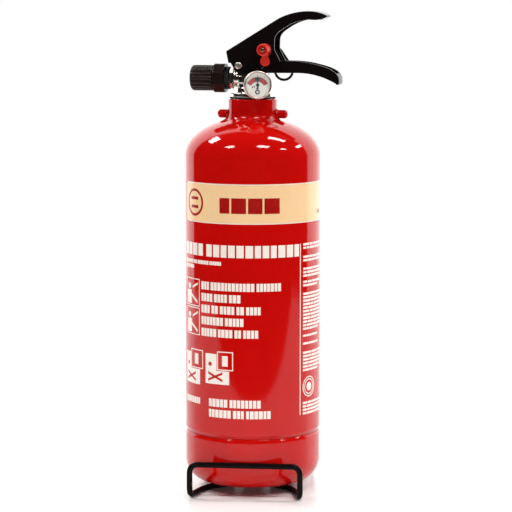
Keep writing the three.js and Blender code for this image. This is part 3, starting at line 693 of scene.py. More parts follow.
class Sheet:
    """Thin raised patches on the wall, placed by angle in degrees and height."""

    def __init__(self, inner, outer):
        self.inner = inner
        self.outer = outer
        self.vertices = []
        self.faces = []

    def at(self, degrees, z, r):
        angle = math.radians(degrees)
        return (r * math.sin(angle), -r * math.cos(angle), z)

    def strip(self, stations, closed=False):
        """A patch through stations, each with two (angle, z) edges, given its depth."""
        start = len(self.vertices)
        count = len(stations)
        for edges in stations:
            for degrees, z in edges:
                self.vertices.append(self.at(degrees, z, self.inner))
                self.vertices.append(self.at(degrees, z, self.outer))
        for i in range(count if closed else count - 1):
            a = start + 4 * i
            b = start + 4 * ((i + 1) % count)
            for one, other in ((0, 1), (1, 3), (3, 2), (2, 0)):
                self.faces.append((a + one, a + other, b + other, b + one))
        if not closed:
            for a in (start, start + 4 * (count - 1)):
                self.faces.append((a, a + 1, a + 3, a + 2))

    def columns(self, columns):
        """A patch through columns of (angle, low z, high z)."""
        self.strip([((angle, low), (angle, high)) for angle, low, high in columns])

    def bar(self, start, end, low, high, step=2.0):
        count = max(1, math.ceil((end - start) / step))
        self.columns([(start + (end - start) * i / count, low, high) for i in range(count + 1)])

    def frame(self, start, end, low, high, line):
        """An open rectangle, its line width in millimetres."""
        across = math.degrees(line / CYL_R)
        self.bar(start, end, low, low + line)
        self.bar(start, end, high - line, high)
        self.bar(start, start + across, low + line, high - line)
        self.bar(end - across, end, low + line, high - line)

    def slanted(self, start, end, low, high, line):
        """A slanting stroke from (start, low) to (end, high)."""
        columns = []
        for i in range(7):
            t = i / 6
            z = low + (high - low) * t
            columns.append((start + (end - start) * t, z - line / 2, z + line / 2))
        self.columns(columns)

    def circle(self, degrees, z, outer, inner=0.0):
        """A disc or ring round a point on the wall."""
        stations = []
        for c, s in polygon(1, 40):
            spot = [(degrees + math.degrees(r * c / CYL_R), z + r * s) for r in (inner, outer)]
            stations.append(spot)
        self.strip(stations, closed=True)

    def words(self, start, end, low, high, draw, pattern, letters=True):
        """A line of placeholder blocks in place of a text, with the number of letters in each word."""
        stretches = []
        for count in pattern:
            runs = count if letters else 1
            for k in range(runs):
                width = draw.uniform(0.84, 1.16) if letters else count
                stretches.append((width, True))
                stretches.append((LETTER_SPACE if k < runs - 1 else WORD_SPACE, False))
        stretches.pop()
        unit = (end - start) / sum(width for width, _ in stretches)
        at = start
        for width, inked in stretches:
            stop = at + width * unit
            if inked:
                self.bar(at, stop, low, high)
            at = stop

    def finished(self, name):
        return mesh_object(name, self.vertices, self.faces)


def rounded_band(sheet, start, end, low, high, corner):
    """A long band whose ends have round corners."""
    columns = []
    reach = math.degrees(corner / CYL_R)
    for i in range(9):
        t = 1 - math.cos(math.pi * i / 16)
        columns.append((t, corner - corner * math.sqrt(max(0, 1 - (1 - t) ** 2))))
    line = [(start + reach * t, low + cut, high - cut) for t, cut in columns]
    count = 110
    inner_start = start + reach
    inner_end = end - reach
    for i in range(1, count):
        line.append((inner_start + (inner_end - inner_start) * i / count, low, high))
    line.extend((end - reach * t, low + cut, high - cut) for t, cut in reversed(columns))
    sheet.columns(line)


PRINT_FOOT = CYL_R - 0.05
PRINT_TOP = CYL_R + 0.09
BAND_EDGE = 0.7
LETTER_SPACE = 0.24  # in letter widths
WORD_SPACE = 0.7
HEADINGS = (  # start and end angle, low and high z, and the letters in each word
    (-61.5, 55.0, 193.4, 203.2, (4, 12)),
    (-61.5, -14.2, 186.8, 189.8, (8, 3, 7, 6)),
    (-61.5, -45.7, 182.6, 185.6, (5, 4)),
)
FOOT_LINES = (
    (-61.4, -37.3, 73.4, 78.6, (8,)),
    (-26.5, 19.6, 73.1, 79.4, (5, 8)),
    (-26.5, 28.0, 64.5, 70.8, (6, 3, 6)),
)
TEXT_START = -35.0
TEXT_LINES = (  # where each line ends, and the letters in its words
    (37.0, (3, 12, 7)),
    (2.8, (4, 4, 3)),
    (19.5, (3, 2, 4, 2, 4)),
    (5.3, (7, 5)),
    (17.5, (5, 4, 2, 4)),
)
TEXT_TOP_Z = 173.1
TEXT_PITCH = 9.35
TEXT_HEIGHT = 6.4
COLUMN_START = 60.0
COLUMN_END = 101.0
COLUMN_GROUPS = (  # top z and number of lines
    (203.4, 2), (193.4, 2), (183.8, 3), (173.2, 2), (163.6, 11),
    (129.8, 1), (123.4, 1), (116.0, 6), (75.2, 4),
)
COLUMN_PITCH = 2.82
COLUMN_HEIGHT = 1.75
COLUMN_WORDS = 5
SEAL_MARK = (68.4, 87.2)
PICTURES_LOW_Z = (152.2, 129.0)
PICTURE_SPAN = (-60.4, -37.5)
PICTURE_HEIGHT = 22.2
CLASS_MARKS = (  # a square and its tag: start and end angle, low and high z
    ((-61.0, -37.2, 89.2, 114.4), (-50.9, -33.4, 102.0, 117.4)),
    ((-30.2, -7.0, 91.4, 115.6), (-18.1, -3.5, 102.8, 118.0)),
)
BAND_WORD = (-15.4, 35.7, 228.5, 240.8)
BAND_SHARES = (0.75, 1.05, 1.0, 1.1)  # the widths of its four blocks
BAND_SPACE = 1.6
BAND_MARK = (-43.9, 235.8)
RULE_AT = 56.2


def build_print():
    draw = random.Random(SEED)
    light = Sheet(PRINT_FOOT, PRINT_TOP)
    dark = Sheet(PRINT_FOOT, PRINT_TOP + 0.07)

    for *where, pattern in HEADINGS:
        light.words(*where, draw, pattern)
    for i, (end, pattern) in enumerate(TEXT_LINES):
        top = TEXT_TOP_Z - i * TEXT_PITCH
        light.words(TEXT_START, end, top - TEXT_HEIGHT, top, draw, pattern)
    for *where, pattern in FOOT_LINES:
        light.words(*where, draw, pattern)

    light.bar(RULE_AT, RULE_AT + 0.8, 65.2, 203.3, step=0.8)
    for top, lines in COLUMN_GROUPS:
        for i in range(lines):
            high = top - i * COLUMN_PITCH
            end = COLUMN_END - (draw.uniform(6, 18) if i == lines - 1 else 0)
            pattern = [draw.randint(3, 9) for _ in range(COLUMN_WORDS)]
            light.words(COLUMN_START, end, high - COLUMN_HEIGHT, high, draw, pattern, letters=False)
    for outer, inner in ((8.4, 7.5), (6.3, 5.5), (3.4, 0.0)):
        light.circle(*SEAL_MARK, outer, inner)

    # Two use pictures: a plain frame with a body and a stream in it.
    for low in PICTURES_LOW_Z:
        light.frame(*PICTURE_SPAN, low, low + PICTURE_HEIGHT, 0.7)
        light.bar(-58, -50, low + 1.6, low + 12.5)
        light.circle(-54, low + 15.6, 2.4)
        light.slanted(-50, -40.5, low + 9, low + 3.4, 2.2)
        light.slanted(-48, -40, low + 15, low + 18.5, 1.6)

    # Two fire classes: a light square with a plain mark, and a tag with a frame.
    for (start, end, low, high), tag in CLASS_MARKS:
        tag_start, tag_end, tag_low, tag_high = tag
        light.bar(start, tag_start - 0.6, low, high)
        light.bar(tag_start - 0.6, end, low, tag_low - 0.6)
        light.frame(*tag, 0.8)
        middle = (tag_start + tag_end) / 2
        light.bar(middle - 2.6, middle + 2.6, tag_low + 3.4, tag_high - 3.4)
        dark.slanted(start + 3, end - 6, low + 3, low + 9, 2.0)
        dark.slanted(start + 3, end - 6, low + 9, low + 3, 2.0)
        dark.circle(start + 5, low + 16, 1.7)

    piece(light.finished("wall_print"), "cream_print")
    piece(dark.finished("wall_print_marks"), "red_enamel")


def build_band():
    turn = math.degrees(BAND_EDGE / CYL_R)
    edge = Sheet(PRINT_FOOT, CYL_R + 0.12)
    low, high = BAND_LOW_Z - BAND_EDGE, BAND_HIGH_Z + BAND_EDGE
    rounded_band(edge, BAND_FROM - turn, BAND_TO + turn, low, high, 4.4)
    piece(edge.finished("band_edge"), "cream_print")
    band = Sheet(PRINT_FOOT, CYL_R + 0.22)
    rounded_band(band, BAND_FROM, BAND_TO, BAND_LOW_Z, BAND_HIGH_Z, 4)
    piece(band.finished("band"), "cream_print", "label_band", material=band_paint)

    ink = Sheet(CYL_R + 0.1, CYL_R + 0.3)
    at, end, low, high = BAND_WORD
    unit = (end - at - BAND_SPACE * (len(BAND_SHARES) - 1)) / sum(BAND_SHARES)
    for share in BAND_SHARES:
        ink.bar(at, at + share * unit, low, high)
        at += share * unit + BAND_SPACE
    ink.circle(*BAND_MARK, 11.0, 9.0)
    middle, level = BAND_MARK
    for low in (2.2, -4.6):
        ink.bar(middle - 5.2, middle + 5.2, level + low, level + low + 2.4)
    for start in (82, 86):
        ink.bar(start, start + 2.4, 226, 229.2)
    piece(ink.finished("band_marks"), "red_enamel", material=band_ink)


# ------------ valve


def build_valve():
    inner = NECK_BORE_R + 0.1
    outer = FLANGE_R + 0.6
    low, high = GASKET_LOW_Z, GASKET_TOP_Z
    gasket = lathe("gasket", [(inner, low), (outer, low), (outer, high), (inner, high)], 0.35)
    piece(gasket, "rubber", "neck_gasket")

    waist_r = BODY_R - WAIST_DEPTH
    waist_low, waist_high = WAIST_Z
    body = [
        (0, NECK_LOW_Z + GAP), (THREAD_R, NECK_LOW_Z + GAP), (THREAD_R, FLANGE_Z, 0.2),
        (FLANGE_R, FLANGE_Z, 0.5), (FLANGE_R, FLANGE_TOP_Z, 0.7),
        (BODY_R + 0.8, FLANGE_TOP_Z, 0.8), (BODY_R, FLANGE_TOP_Z + 1.2, 1),
        (BODY_R, waist_low, 0.5), (waist_r, waist_low + WAIST_DEPTH, 0.4),
        (waist_r, waist_high - WAIST_DEPTH, 0.4), (BODY_R, waist_high, 0.5),
        (BODY_R, BODY_TOP_Z - 0.1, 1.2), (0, BODY_TOP_Z),
    ]
    valve = lathe("valve", body)
    side = Outline(HEAD_END_X, BODY_TOP_Z - 1)
    side.line(HEAD_END_X, HEAD_TOP_Z - 2).line(HEAD_END_X - 2, HEAD_TOP_Z)
    side.line(RIVET[0], HEAD_TOP_Z).around(RIVET, 4.2, 92, 252)
    side.line(RIVET[0] + 2, BODY_TOP_Z - 1)
    head = bevel(plate("head", side.points, HEAD_HALF_Y), 0.6)
    outlet = along_nozzle(stub("outlet", OUTLET_R, OUTLET_END, 0.7))
    boss = on_port(stub("boss", GAUGE_BOSS_R, GAUGE_BOSS_END, 0.6))
    combine(valve, "UNION", head, outlet, boss)

    groove_low, groove_high = O_RING_Z
    bore = [
        (0, NECK_LOW_Z - 1), (CHAMBER_R, NECK_LOW_Z - 1), (CHAMBER_R, SEAT_Z), (PASSAGE_R, SEAT_Z),
        (PASSAGE_R, PASSAGE_TOP_Z), (GUIDE_R, PASSAGE_TOP_Z), (GUIDE_R, groove_low),
        (O_RING_GROOVE_R, groove_low), (O_RING_GROOVE_R, groove_high), (GUIDE_R, groove_high),
        (GUIDE_R, HEAD_TOP_Z + 1), (0, HEAD_TOP_Z + 1),
    ]
    holes = [
        lathe("bore", bore, 0, sides=64),
        along_nozzle(rod("bore", OUTLET_BORE_R, 10.5, OUTLET_END + 1)),
        on_port(rod("bore", GAUGE_PORT_R, 9, GAUGE_BOSS_END + 1, 32)),
        through_hole(RIVET_HOLE_R, RIVET),
        through_hole(FIXING_HOLE_R, FIXING_PIN, 32),
    ]
    combine(valve, "DIFFERENCE", *holes)
    piece(valve, "nickel_plate", "valve_body")

    stem = [
        (0, STEM_LOW_Z), (STEM_HEAD_R, STEM_LOW_Z),
        (STEM_HEAD_R, STEM_LOW_Z + 2), (STEM_R, STEM_LOW_Z + 2),
        *arc((0, STEM_DOME_Z), STEM_R, STEM_R, 0, 84, 10),
        (0, STEM_DOME_Z + STEM_R),
    ]
    piece(lathe("stem_rod", stem, 0.3, sides=48), "steel", "valve_stem", body="stem")


# ------------ nozzle


def build_nozzle():
    low = OUTLET_END + GAP
    nipple = [
        (0, NIPPLE_END), (NIPPLE_R, NIPPLE_END), (NIPPLE_R, low),
        (BARREL_R, low), (BARREL_R, BARREL_END), (0, BARREL_END),
    ]
    barrel = lathe("nipple", nipple, sides=64)
    hexagon = prism("hex", polygon(HEX_R, 6), low, HEX_END)
    chamfer = [
        (0, OUTLET_END), (HEX_R - 1, OUTLET_END), (HEX_R + 0.3, OUTLET_END + 1.4),
        (HEX_R + 0.3, HEX_END - 1.2), (HEX_R - 1, HEX_END + 0.1), (0, HEX_END + 0.1),
    ]
    combine(hexagon, "INTERSECT", lathe("cone", chamfer, 0))
    combine(barrel, "UNION", hexagon)
    combine(barrel, "DIFFERENCE", rod("bore", NIPPLE_BORE_R, 10, BARREL_END + 1, 32))
    piece(along_nozzle(bevel(barrel, 0.2)), "nickel_plate", "outlet_nipple")

    bore_r = BARREL_R + GAP
    low = HEX_END + GAP
    high = WASHER_END
    groove_r = WASHER_R - 0.6
    washer = [
        (bore_r, low), (WASHER_R - 0.4, low), (WASHER_R, HEX_END + 0.9, 0.4),
        (WASHER_R, high - 1.5, 0.3), (groove_r, high - 1.2, 0.2), (groove_r, high - 0.8, 0.2),
        (WASHER_R, high - 0.5, 0.3), (WASHER_R, high), (bore_r, high),
    ]
    piece(along_nozzle(lathe("back_ring", washer)), "rubber", "nozzle_washer")

    low, high = WASHER_END, COLLAR_END
    facets = polygon(COLLAR_R, COLLAR_SIDES, math.pi / COLLAR_SIDES)
    collar = prism("collar", facets, low + GAP, high)
    chamfer = [
        (0, low), (COLLAR_R - 1.1, low), (COLLAR_R + 0.2, low + 1.2),
        (COLLAR_R + 0.2, high - 0.9), (COLLAR_R - 1.0, high + 0.1), (0, high + 0.1),
    ]
    combine(collar, "INTERSECT", lathe("cone", chamfer, 0))
    combine(collar, "DIFFERENCE", rod("bore", bore_r, low, high + 1))
    piece(along_nozzle(bevel(collar, 0.3, 30)), "black_plastic", "nozzle_collar")
    piece(along_nozzle(nozzle_barrel()), "black_plastic", "nozzle_body")


def nozzle_barrel():
    """The ribbed nozzle: rings whose radius dips at each flute, closed by its front face and bore."""
    start, end = COLLAR_END + GAP, NOZZLE_END
    rows = [  # distance, radius, share of the flute's depth
        (start, BARREL_R + GAP, 0), (start, NOZZLE_R - 1.2, 0), (start + 0.5, NOZZLE_R - 0.7, 0),
        (start + 0.9, NOZZLE_R - 0.2, 0.2), (start + 1.6, NOZZLE_R, 0.8), (start + 2.4, NOZZLE_R, 1),
        (end - 3.4, NOZZLE_R, 1), (end - 2.2, NOZZLE_R - 0.1, 1), (end - 1.4, NOZZLE_R - 0.4, 0.8),
        (end - 0.8, NOZZLE_R - 0.9, 0.4), (end - 0.3, NOZZLE_R - 1.7, 0), (end, NOZZLE_R - 2.8, 0),
        (end, NOZZLE_R - 5.4, 0), (end - 0.6, NOZZLE_R - 6.0, 0), (end - 0.6, ORIFICE_R + 0.5, 0),
        (end - 1.2, ORIFICE_R, 0), (end - 3, ORIFICE_R, 0), (end - 5, BARREL_R + GAP, 0),
    ]
    sides = NOZZLE_FLUTES * FLUTE_STEPS
    vertices = []
    for distance, radius, share in rows:
        for i, (c, s) in enumerate(polygon(1, sides)):
            phase = (i % FLUTE_STEPS) / FLUTE_STEPS
            dip = math.cos(math.pi * (phase - 0.5)) ** 2
            r = radius - FLUTE_DEPTH * share * (1 - dip) ** 1.6
            vertices.append((r * c, r * s, distance))
    return mesh_object("nozzle_grip", vertices, quads(len(rows), sides, closed=True), 40)


# ------------ gauge


def dial_arc(name, inner, outer, start, end, thick, rise=0.0):
    """A thin arc on the dial, angles in degrees from the top, its centre raised along the dial."""
    high = DIAL_AT + thick
    if end - start == 360:
        ring = [(inner, DIAL_AT), (outer, DIAL_AT), (outer, high), (inner, high)]
        return place(lathe(name, ring, 0, 40), Matrix.Translation((rise, 0, 0)))
    count = max(2, int(abs(end - start) / 3))
    outline = [
        *arc((rise, 0), outer, outer, start, end, count),
        *arc((rise, 0), inner, inner, end, start, count),
    ]
    return prism(name, outline, DIAL_AT, high)


def zone(name, start, end):
    return dial_arc(name, ZONE_IN, ZONE_OUT, start, end, ZONE_THICK, ZONE_CENTRE)


def build_gauge():
    low = GAUGE_BOSS_END + GAP
    high = GAUGE_BACK + 2.4
    wide, thin = SHANK_R
    shank = [(0, SHANK_START), (wide, SHANK_START), (wide, low), (thin, low), (thin, high), (0, high)]
    stem = lathe("gauge_shank", shank, sides=48)
    combine(stem, "UNION", prism("hex", polygon(GAUGE_HEX_R, 6), low, GAUGE_BACK - GAP))
    piece(on_gauge(bevel(stem, 0.3)), "brass", "gauge_stem")

    inner = GAUGE_R - 0.9
    back, front = GAUGE_BACK, GAUGE_FRONT
    case = [
        (2.5, back), (GAUGE_R - 1.2, back, 0.8), (GAUGE_R - 0.5, back + 1.4, 0.6),
        (GAUGE_R - 0.5, front - 4.2, 0.3), (GAUGE_R, front - 3.8, 0.4), (GAUGE_R, front - 0.9, 0.8),
        (GAUGE_R - 0.6, front, 0.5), (inner - 0.6, front - 0.15, 0.4),
        (inner - 0.9, front - 0.8, 0.2), (inner, front - 0.8, 0),
        (inner, back + 1, 0.4), (2.5, back + 1),
    ]
    shell = on_gauge(lathe("gauge_shell", case, sides=128))
    piece(shell, "nickel_plate", "gauge_case", material=bezel_metal)

    low = DIAL_AT - 0.4
    dial = [(1.1, low), (DIAL_R, low), (DIAL_R, DIAL_AT), (1.1, DIAL_AT)]
    piece(on_gauge(lathe("gauge_face", dial, 0.1, 96)), "dial_face", "gauge_dial")
    red = zone("zone_low", ZONE_GOOD, ZONE_SPAN)
    combine(red, "UNION", zone("zone_high", -ZONE_SPAN, -ZONE_GOOD))
    piece(on_gauge(red), "dial_face", material=dial_red)
    good = zone("zone_good", -ZONE_GOOD, ZONE_GOOD)
    piece(on_gauge(good), "dial_face", material=dial_green)
    edge = ZONE_SPAN + 3
    marks = dial_arc("dial_marks", ZONE_IN - 0.4, ZONE_OUT + 0.4, -edge, edge, MARK_THICK, ZONE_CENTRE)
    small = [dial_arc("mark", *mark) for mark in DIAL_MARKS]
    combine(marks, "UNION", *small)
    piece(on_gauge(marks), "dial_face", material=dial_black)

    foot, at = GAUGE_BACK + 4, GAUGE_BACK + 6
    pin = [(0, foot), (0.7, foot), (0.7, at), (1.3, at), (1.3, at + 0.8), (0, at + 0.8)]
    hub = lathe("pointer", pin, 0.2, sides=40)
    half = [(-NEEDLE_TAIL, -0.55), (0, -0.6), (NEEDLE_LENGTH, -0.16)]
    outline = half + [(x, -y) for x, y in reversed(half)]
    combine(hub, "UNION", prism("blade", outline, at + 0.05, at + 0.4))
    piece(on_gauge(hub), "black_coat", "gauge_needle", body="needle")

    edge_z = LENS_AT + 0.6
    dome = [(0, LENS_AT), (DIAL_R, LENS_AT, 0.2), (DIAL_R, edge_z, 0.2)]
    for k in range(1, 8):
        dome.append((DIAL_R * (1 - k / 8), edge_z + LENS_RISE * math.sin(math.pi * k / 16), 0))
    dome.append((0, edge_z + LENS_RISE))
    piece(on_gauge(lathe("gauge_window", dome, sides=96)), "clear_lens", "gauge_lens")


# ------------ handles


def grip_plan(start, end, half, reach):
    """The plan of a handle: straight sides, with a round end of the same width."""
    shape = Outline(start, -half).line(end - reach, -half)
    shape.quadratic(end, -half, end, -half + reach, 14).line(end, half - reach)
    shape.quadratic(end, half, end - reach, half, 14).line(start, half)
    return shape.points


def fold(obj, points, first, last):
    """Rounds the folds along a stretch of a plate's outline, on both its faces."""
    work = bmesh.new()
    work.from_mesh(obj.data)
    wanted = {(round(x, 3), round(z, 3)) for x, z in points[first : last + 1]}
    edges = []
    for edge in work.edges:
        ends = [vertex.co / MM for vertex in edge.verts]
        level = abs(ends[0].y - ends[1].y) < 0.01
        if level and all((round(p.x, 3), round(p.z, 3)) in wanted for p in ends):
            edges.append(edge)
    shape = {"offset": FOLD_R * MM, "segments": 5, "profile": 0.5, "clamp_overlap": False}
    bmesh.ops.bevel(work, geom=edges, affect="EDGES", **shape)
    work.to_mesh(obj.data)
    work.free()
    smooth(obj.data)


def lever_outline():
    """The lever from the side, and the index where its folds end."""
    shape = Outline(-19.4, 355.2).line(*LEVER_BEND)
    shape.cubic(33, 387.2, 52, 389.8, 61.6, 384)
    fold_end = len(shape.points) - 1
    shape.quadratic(63.4, 382.9, 61.9, 382.4).quadratic(57.5, 379.6, 50, 380.3)
    shape.cubic(42, 381.2, 34, 378, 24.6, 371.2)
    shape.quadratic(20.6, 368.2, 20.4, 364.4).line(20.2, 358.2)
    shape.quadratic(20.2, 356.6, 21, 355.2).line(25, 347.4)
    shape.around(LOBE, LOBE_R, -60, -170).line(-15.6, 345.7).line(-17.5, 345.7)
    return shape.points, fold_end


def lever_inside():
    """What is cut out under the lever's sheet."""
    drop = SHEET / math.cos(LEVER_SLOPE)
    shape = Outline(-23.3, 352.9 - drop).line(LEVER_BEND[0], LEVER_BEND[1] - drop)
    shape.cubic(33, 387 - SHEET, 49, 389 - SHEET, 57.5, 385.7 - SHEET)
    shape.line(57.5, CUT_LOW_Z).line(-23.3, CUT_LOW_Z)
    return shape.points


def pin_slot():
    """The hole along the pin's path as the lever turns about the rivet."""
    reach = (Vector(PIN) - Vector(RIVET)).length
    start = math.degrees(math.atan2(PIN[1] - RIVET[1], PIN[0] - RIVET[0]))
    end = start + math.degrees(LEVER_TRAVEL)
    last = arc(RIVET, reach, reach, start, end, 1)
    outer, inner = reach + PIN_HOLE_R, reach - PIN_HOLE_R
    outline = [
        *arc(RIVET, outer, outer, start, end, 8),
        *arc(last[1], PIN_HOLE_R, PIN_HOLE_R, end, end + 180, 12)[1:-1],
        *arc(RIVET, inner, inner, end, start, 8),
        *arc(last[0], PIN_HOLE_R, PIN_HOLE_R, start + 180, start + 360, 12)[1:-1],
    ]
    return plate("slot", outline, THROUGH_Y)


def build_lever():
    points, fold_end = lever_outline()
    lever = plate("lever_grip", points, LEVER_HALF_Y)
    fold(lever, points, 0, fold_end)
    plan = grip_plan(PLAN_BACK_X, LEVER_TIP_X, LEVER_HALF_Y, 8)
    combine(lever, "INTERSECT", prism("plan", plan, PLAN_LOW_Z, LEVER_PLAN_TOP_Z))
    inside = plate("inside", lever_inside(), LEVER_HALF_Y - SHEET)
    combine(lever, "DIFFERENCE", inside, through_hole(RIVET_HOLE_R, RIVET), pin_slot())
    piece(bevel(lever, EDGE_R, 42), "black_coat", "squeeze_lever", body="lever")


def handle_outline():
    """The carry handle from the side, and the index where its folds end."""
    shape = Outline(RIVET[0], HANDLE_WEB_Z + 0.6).line(RIVET[0] + 1.5, HANDLE_WEB_Z)
    shape.line(38, HANDLE_WEB_Z + 0.3)
    shape.cubic(50, 338, 61, 334.8, 70.8, 328.9)
    fold_end = len(shape.points) - 1
    shape.quadratic(72, 328.2, 72.3, 330.4).line(72.3, 332)
    shape.cubic(72.3, 339.4, 63.5, 342.8, 52, 345.2)
    shape.cubic(46, 346.9, 38, 347.5, 29, 347.5)
    shape.line(23.4, 347.6).line(18.6, 356)
    shape.around(PIN, 4.6, 0, 117)
    shape.line(RIVET[0] - 2.5, 347.9).around(RIVET, 4.4, 117, 252)
    return shape.points, fold_end


def handle_inside():
    """What is cut out above the handle's sheet."""
    shape = Outline(CUT_BACK_X, HANDLE_WEB_Z + SHEET).line(38, HANDLE_WEB_Z + 0.3 + SHEET)
    shape.cubic(50, 338 + SHEET, 61, 334.8 + SHEET, 69, 330.2 + SHEET)
    shape.line(HANDLE_TIP_X - SHEET, 332.2).line(HANDLE_TIP_X - SHEET, CUT_TOP_Z)
    shape.line(CUT_BACK_X, CUT_TOP_Z)
    return shape.points


def build_handle():
    half = HANDLE_HALF_Y
    points, fold_end = handle_outline()
    handle = plate("handle_grip", points, half)
    fold(handle, points, 1, fold_end)
    plan = grip_plan(PLAN_BACK_X, HANDLE_TIP_X, half, 3)
    combine(handle, "INTERSECT", prism("plan", plan, PLAN_LOW_Z, HANDLE_PLAN_TOP_Z))
    inside = plate("inside", handle_inside(), half - SHEET)
    corners = (PLAN_BACK_X, -half + SHEET, CUT_LOW_Z), (HEAD_END_X + GAP, half - SHEET, ROOM_TOP_Z)
    head_room = box_solid("room", *corners)
    holes = [
        through_hole(RIVET_HOLE_R, RIVET),
        through_hole(FIXING_HOLE_R, FIXING_PIN, 32),
        through_hole(PIN_HOLE_R, PIN),
    ]
    combine(handle, "DIFFERENCE", inside, head_room, *holes)
    piece(bevel(handle, EDGE_R, 42), "black_coat", "carry_handle")

    face = LEVER_HALF_Y + GAP
    dome = [
        (RIVET_HEAD_R, face, 0.3),
        (RIVET_HEAD_R - 0.15, face + 0.5, 0.3),
        (RIVET_HEAD_R - 0.9, face + 1.15, 0.8),
    ]
    mirrored = [(r, -z, own) for r, z, own in reversed(dome)]
    shank = [(RIVET_R, -face), (RIVET_R, face)]
    profile = [(0, -face - 1.4), *mirrored, *shank, *dome, (0, face + 1.4)]
    rivet = along_y(lathe("rivet", profile, 0.2, 64), *RIVET)
    piece(rivet, "steel", "pivot_rivet", material=bezel_metal)


# ------------ pin, ring, seal


def build_pin():
    stop = LEVER_HALF_Y + 0.5
    profile = [
        (0, PIN_FRONT_Y), (PIN_R, PIN_FRONT_Y, 0.5), (PIN_R, stop, 0.1), (3.2, stop),
        (3.2, stop + 1.4), (PIN_R, stop + 1.4, 0.3), (PIN_R, EYE_Y - 1.8), (0, EYE_Y - 1.8),
    ]
    shaft = along_y(lathe("pin_shaft", profile, sides=48), 0, 0)
    lean = Matrix.Rotation(math.radians(90) - RING_LEAN, 4, "Y")
    shift = Matrix.Translation((0, EYE_Y, 0)) @ lean
    thick = EYE_HALF_THICK
    disc = [(0, -thick), (EYE_R, -thick, 0.8), (EYE_R, thick, 0.8), (0, thick)]
    eye = lathe("eye", disc, sides=64)
    bore = RING_WIRE_R + 0.45
    flare = [(0, -4), (EYE_R, -4), (bore, -1.1, 0.8), (bore, 1.1, 0.8), (EYE_R, 4), (0, 4)]
    hole = lathe("hole", flare, sides=48)
    combine(shaft, "UNION", place(eye, shift))
    combine(shaft, "DIFFERENCE", place(hole, shift))
    place(shaft, Matrix.Translation((PIN[0], 0, PIN[1])))
    piece(shaft, "steel", "safety_pin", body="pin")

    top_z = -RING_TOP_R
    foot_z = RING_FOOT_R - RING_LENGTH
    slope = math.degrees(math.asin((RING_FOOT_R - RING_TOP_R) / (top_z - foot_z)))
    open_angle = math.degrees(GAP / 2 / RING_TOP_R)
    line = [
        *arc((0, top_z), RING_TOP_R, RING_TOP_R, 90 - open_angle, slope, 20),
        *arc((0, foot_z), RING_FOOT_R, RING_FOOT_R, slope, -180 - slope, 56),
        *arc((0, top_z), RING_TOP_R, RING_TOP_R, 180 - slope, 90 + open_angle, 20),
    ]
    path = [(x, 0, z) for x, z, _ in line]
    ring = tube("ring_wire", path, RING_WIRE_R + 0.12, 20)
    place(ring, Matrix.Translation((PIN[0], EYE_Y, PIN[1])) @ Matrix.Rotation(-RING_LEAN, 4, "Y"))
    piece(ring, "black_plastic", "pull_ring", body="ring")


def build_seal():
    front = SEAL_FRONT_Y
    rim_r = PIN_HOLE_R + 0.9
    profile = [
        (PIN_HOLE_R, SEAL_BACK_Y), (SEAL_R, SEAL_BACK_Y), (SEAL_R, front + 4.6, 0.4),
        (SEAL_R - 0.35, front + 4.1, 0.3), (SEAL_R - 0.35, front, 0.6), (SEAL_R - 1.3, front, 0.3),
        (SEAL_R - 1.3, front + 3, 0.2), (rim_r, front + 3, 0.2), (rim_r, front + 1.8, 0.2),
        (PIN_HOLE_R, front + 1.8, 0.2),
    ]
    boss = along_y(lathe("seal_boss", profile, 0.3, sides=80), *PIN)
    joint_z = PIN[1] - SEAL_R + 1
    neck_z = TAIL_Z + 2.5
    left = PIN[0] - TAIL_NECK
    right = PIN[0] + TAIL_NECK
    tail = Outline(left, joint_z)
    tail.quadratic(left + TAIL_PINCH, (joint_z + neck_z) / 2, left, neck_z)
    tail.around((PIN[0], TAIL_Z), TAIL_R, 139, 401, 40).line(right, neck_z)
    tail.quadratic(right - TAIL_PINCH, (joint_z + neck_z) / 2, right, joint_z)
    tab = plate("tab", tail.points, TAIL_THICK / 2, SEAL_BACK_Y - TAIL_THICK / 2)
    combine(boss, "UNION", tab)
    piece(bevel(boss, 0.25, 45), "red_plastic", "tamper_seal", body="seal")


# ------------ stand


def build_stand():
    x, y, z, floor = STAND_HALF_X, STAND_HALF_Y, STAND_TOP_Z, STAND_WIRE_R
    quarter = [
        (GAP / 2, y, z, 0),
        (x, y, z, 7),
        (x, y, floor, 6.5),
        (35.5, 24, floor, 12),
        (17, 10, floor, 8),
    ]
    front = [(px, -py, pz, own) for px, py, pz, own in quarter[:0:-1]]
    right = quarter + front
    left = [(-px, py, pz, own) for px, py, pz, own in reversed(right)]
    path = rounded_path(right + left, 14)
    stand = tube("stand_wire", path, STAND_WIRE_R, 32)
    place(stand, Matrix.Rotation(STAND_TURN, 4, "Z"))
    piece(stand, "black_coat", "wire_stand")


# ------------ kept CAD nodes

KEPT = {
    "rubber": ("stem_o_ring", "stem_seal"),
    "steel": ("valve_spring", "handle_pin"),
    "white_plastic": ("siphon_adapter", "dip_tube", "strainer", "nozzle_insert"),
    "brass": ("gauge_bourdon",),
}


def paint_kept_nodes():
    for slot, nodes in KEPT.items():
        for node in nodes:
            for material_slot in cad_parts[node].material_slots:
                material_slot.link = "OBJECT"
                material_slot.material = materials[slot]


# ------------ camera, light, floor: lengths in metres

CAMERA_AZIMUTH = math.radians(13)  # from -Y towards +X
CAMERA_DISTANCE = 1.85
CAMERA_HEIGHT = 0.403
CAMERA_PITCH = math.radians(6.6)
CAMERA_LENS = 161.0
CAMERA_TURN = math.radians(0.083)  # past the axis, to the right

FLOOR_FRONT = 0.48  # the pale table ends this far before the object
FLOOR_BACK = 1.2
FLOOR_SIDE = 1.2

DIM_TURN = math.radians(6.5)  # from the camera towards its left
DIM_STRENGTH = 0.015
DIM_EDGE = (-0.35, -0.42)  # cosine from the dim side: dim above the first, white below the second
WALL_STRENGTH = 1.9

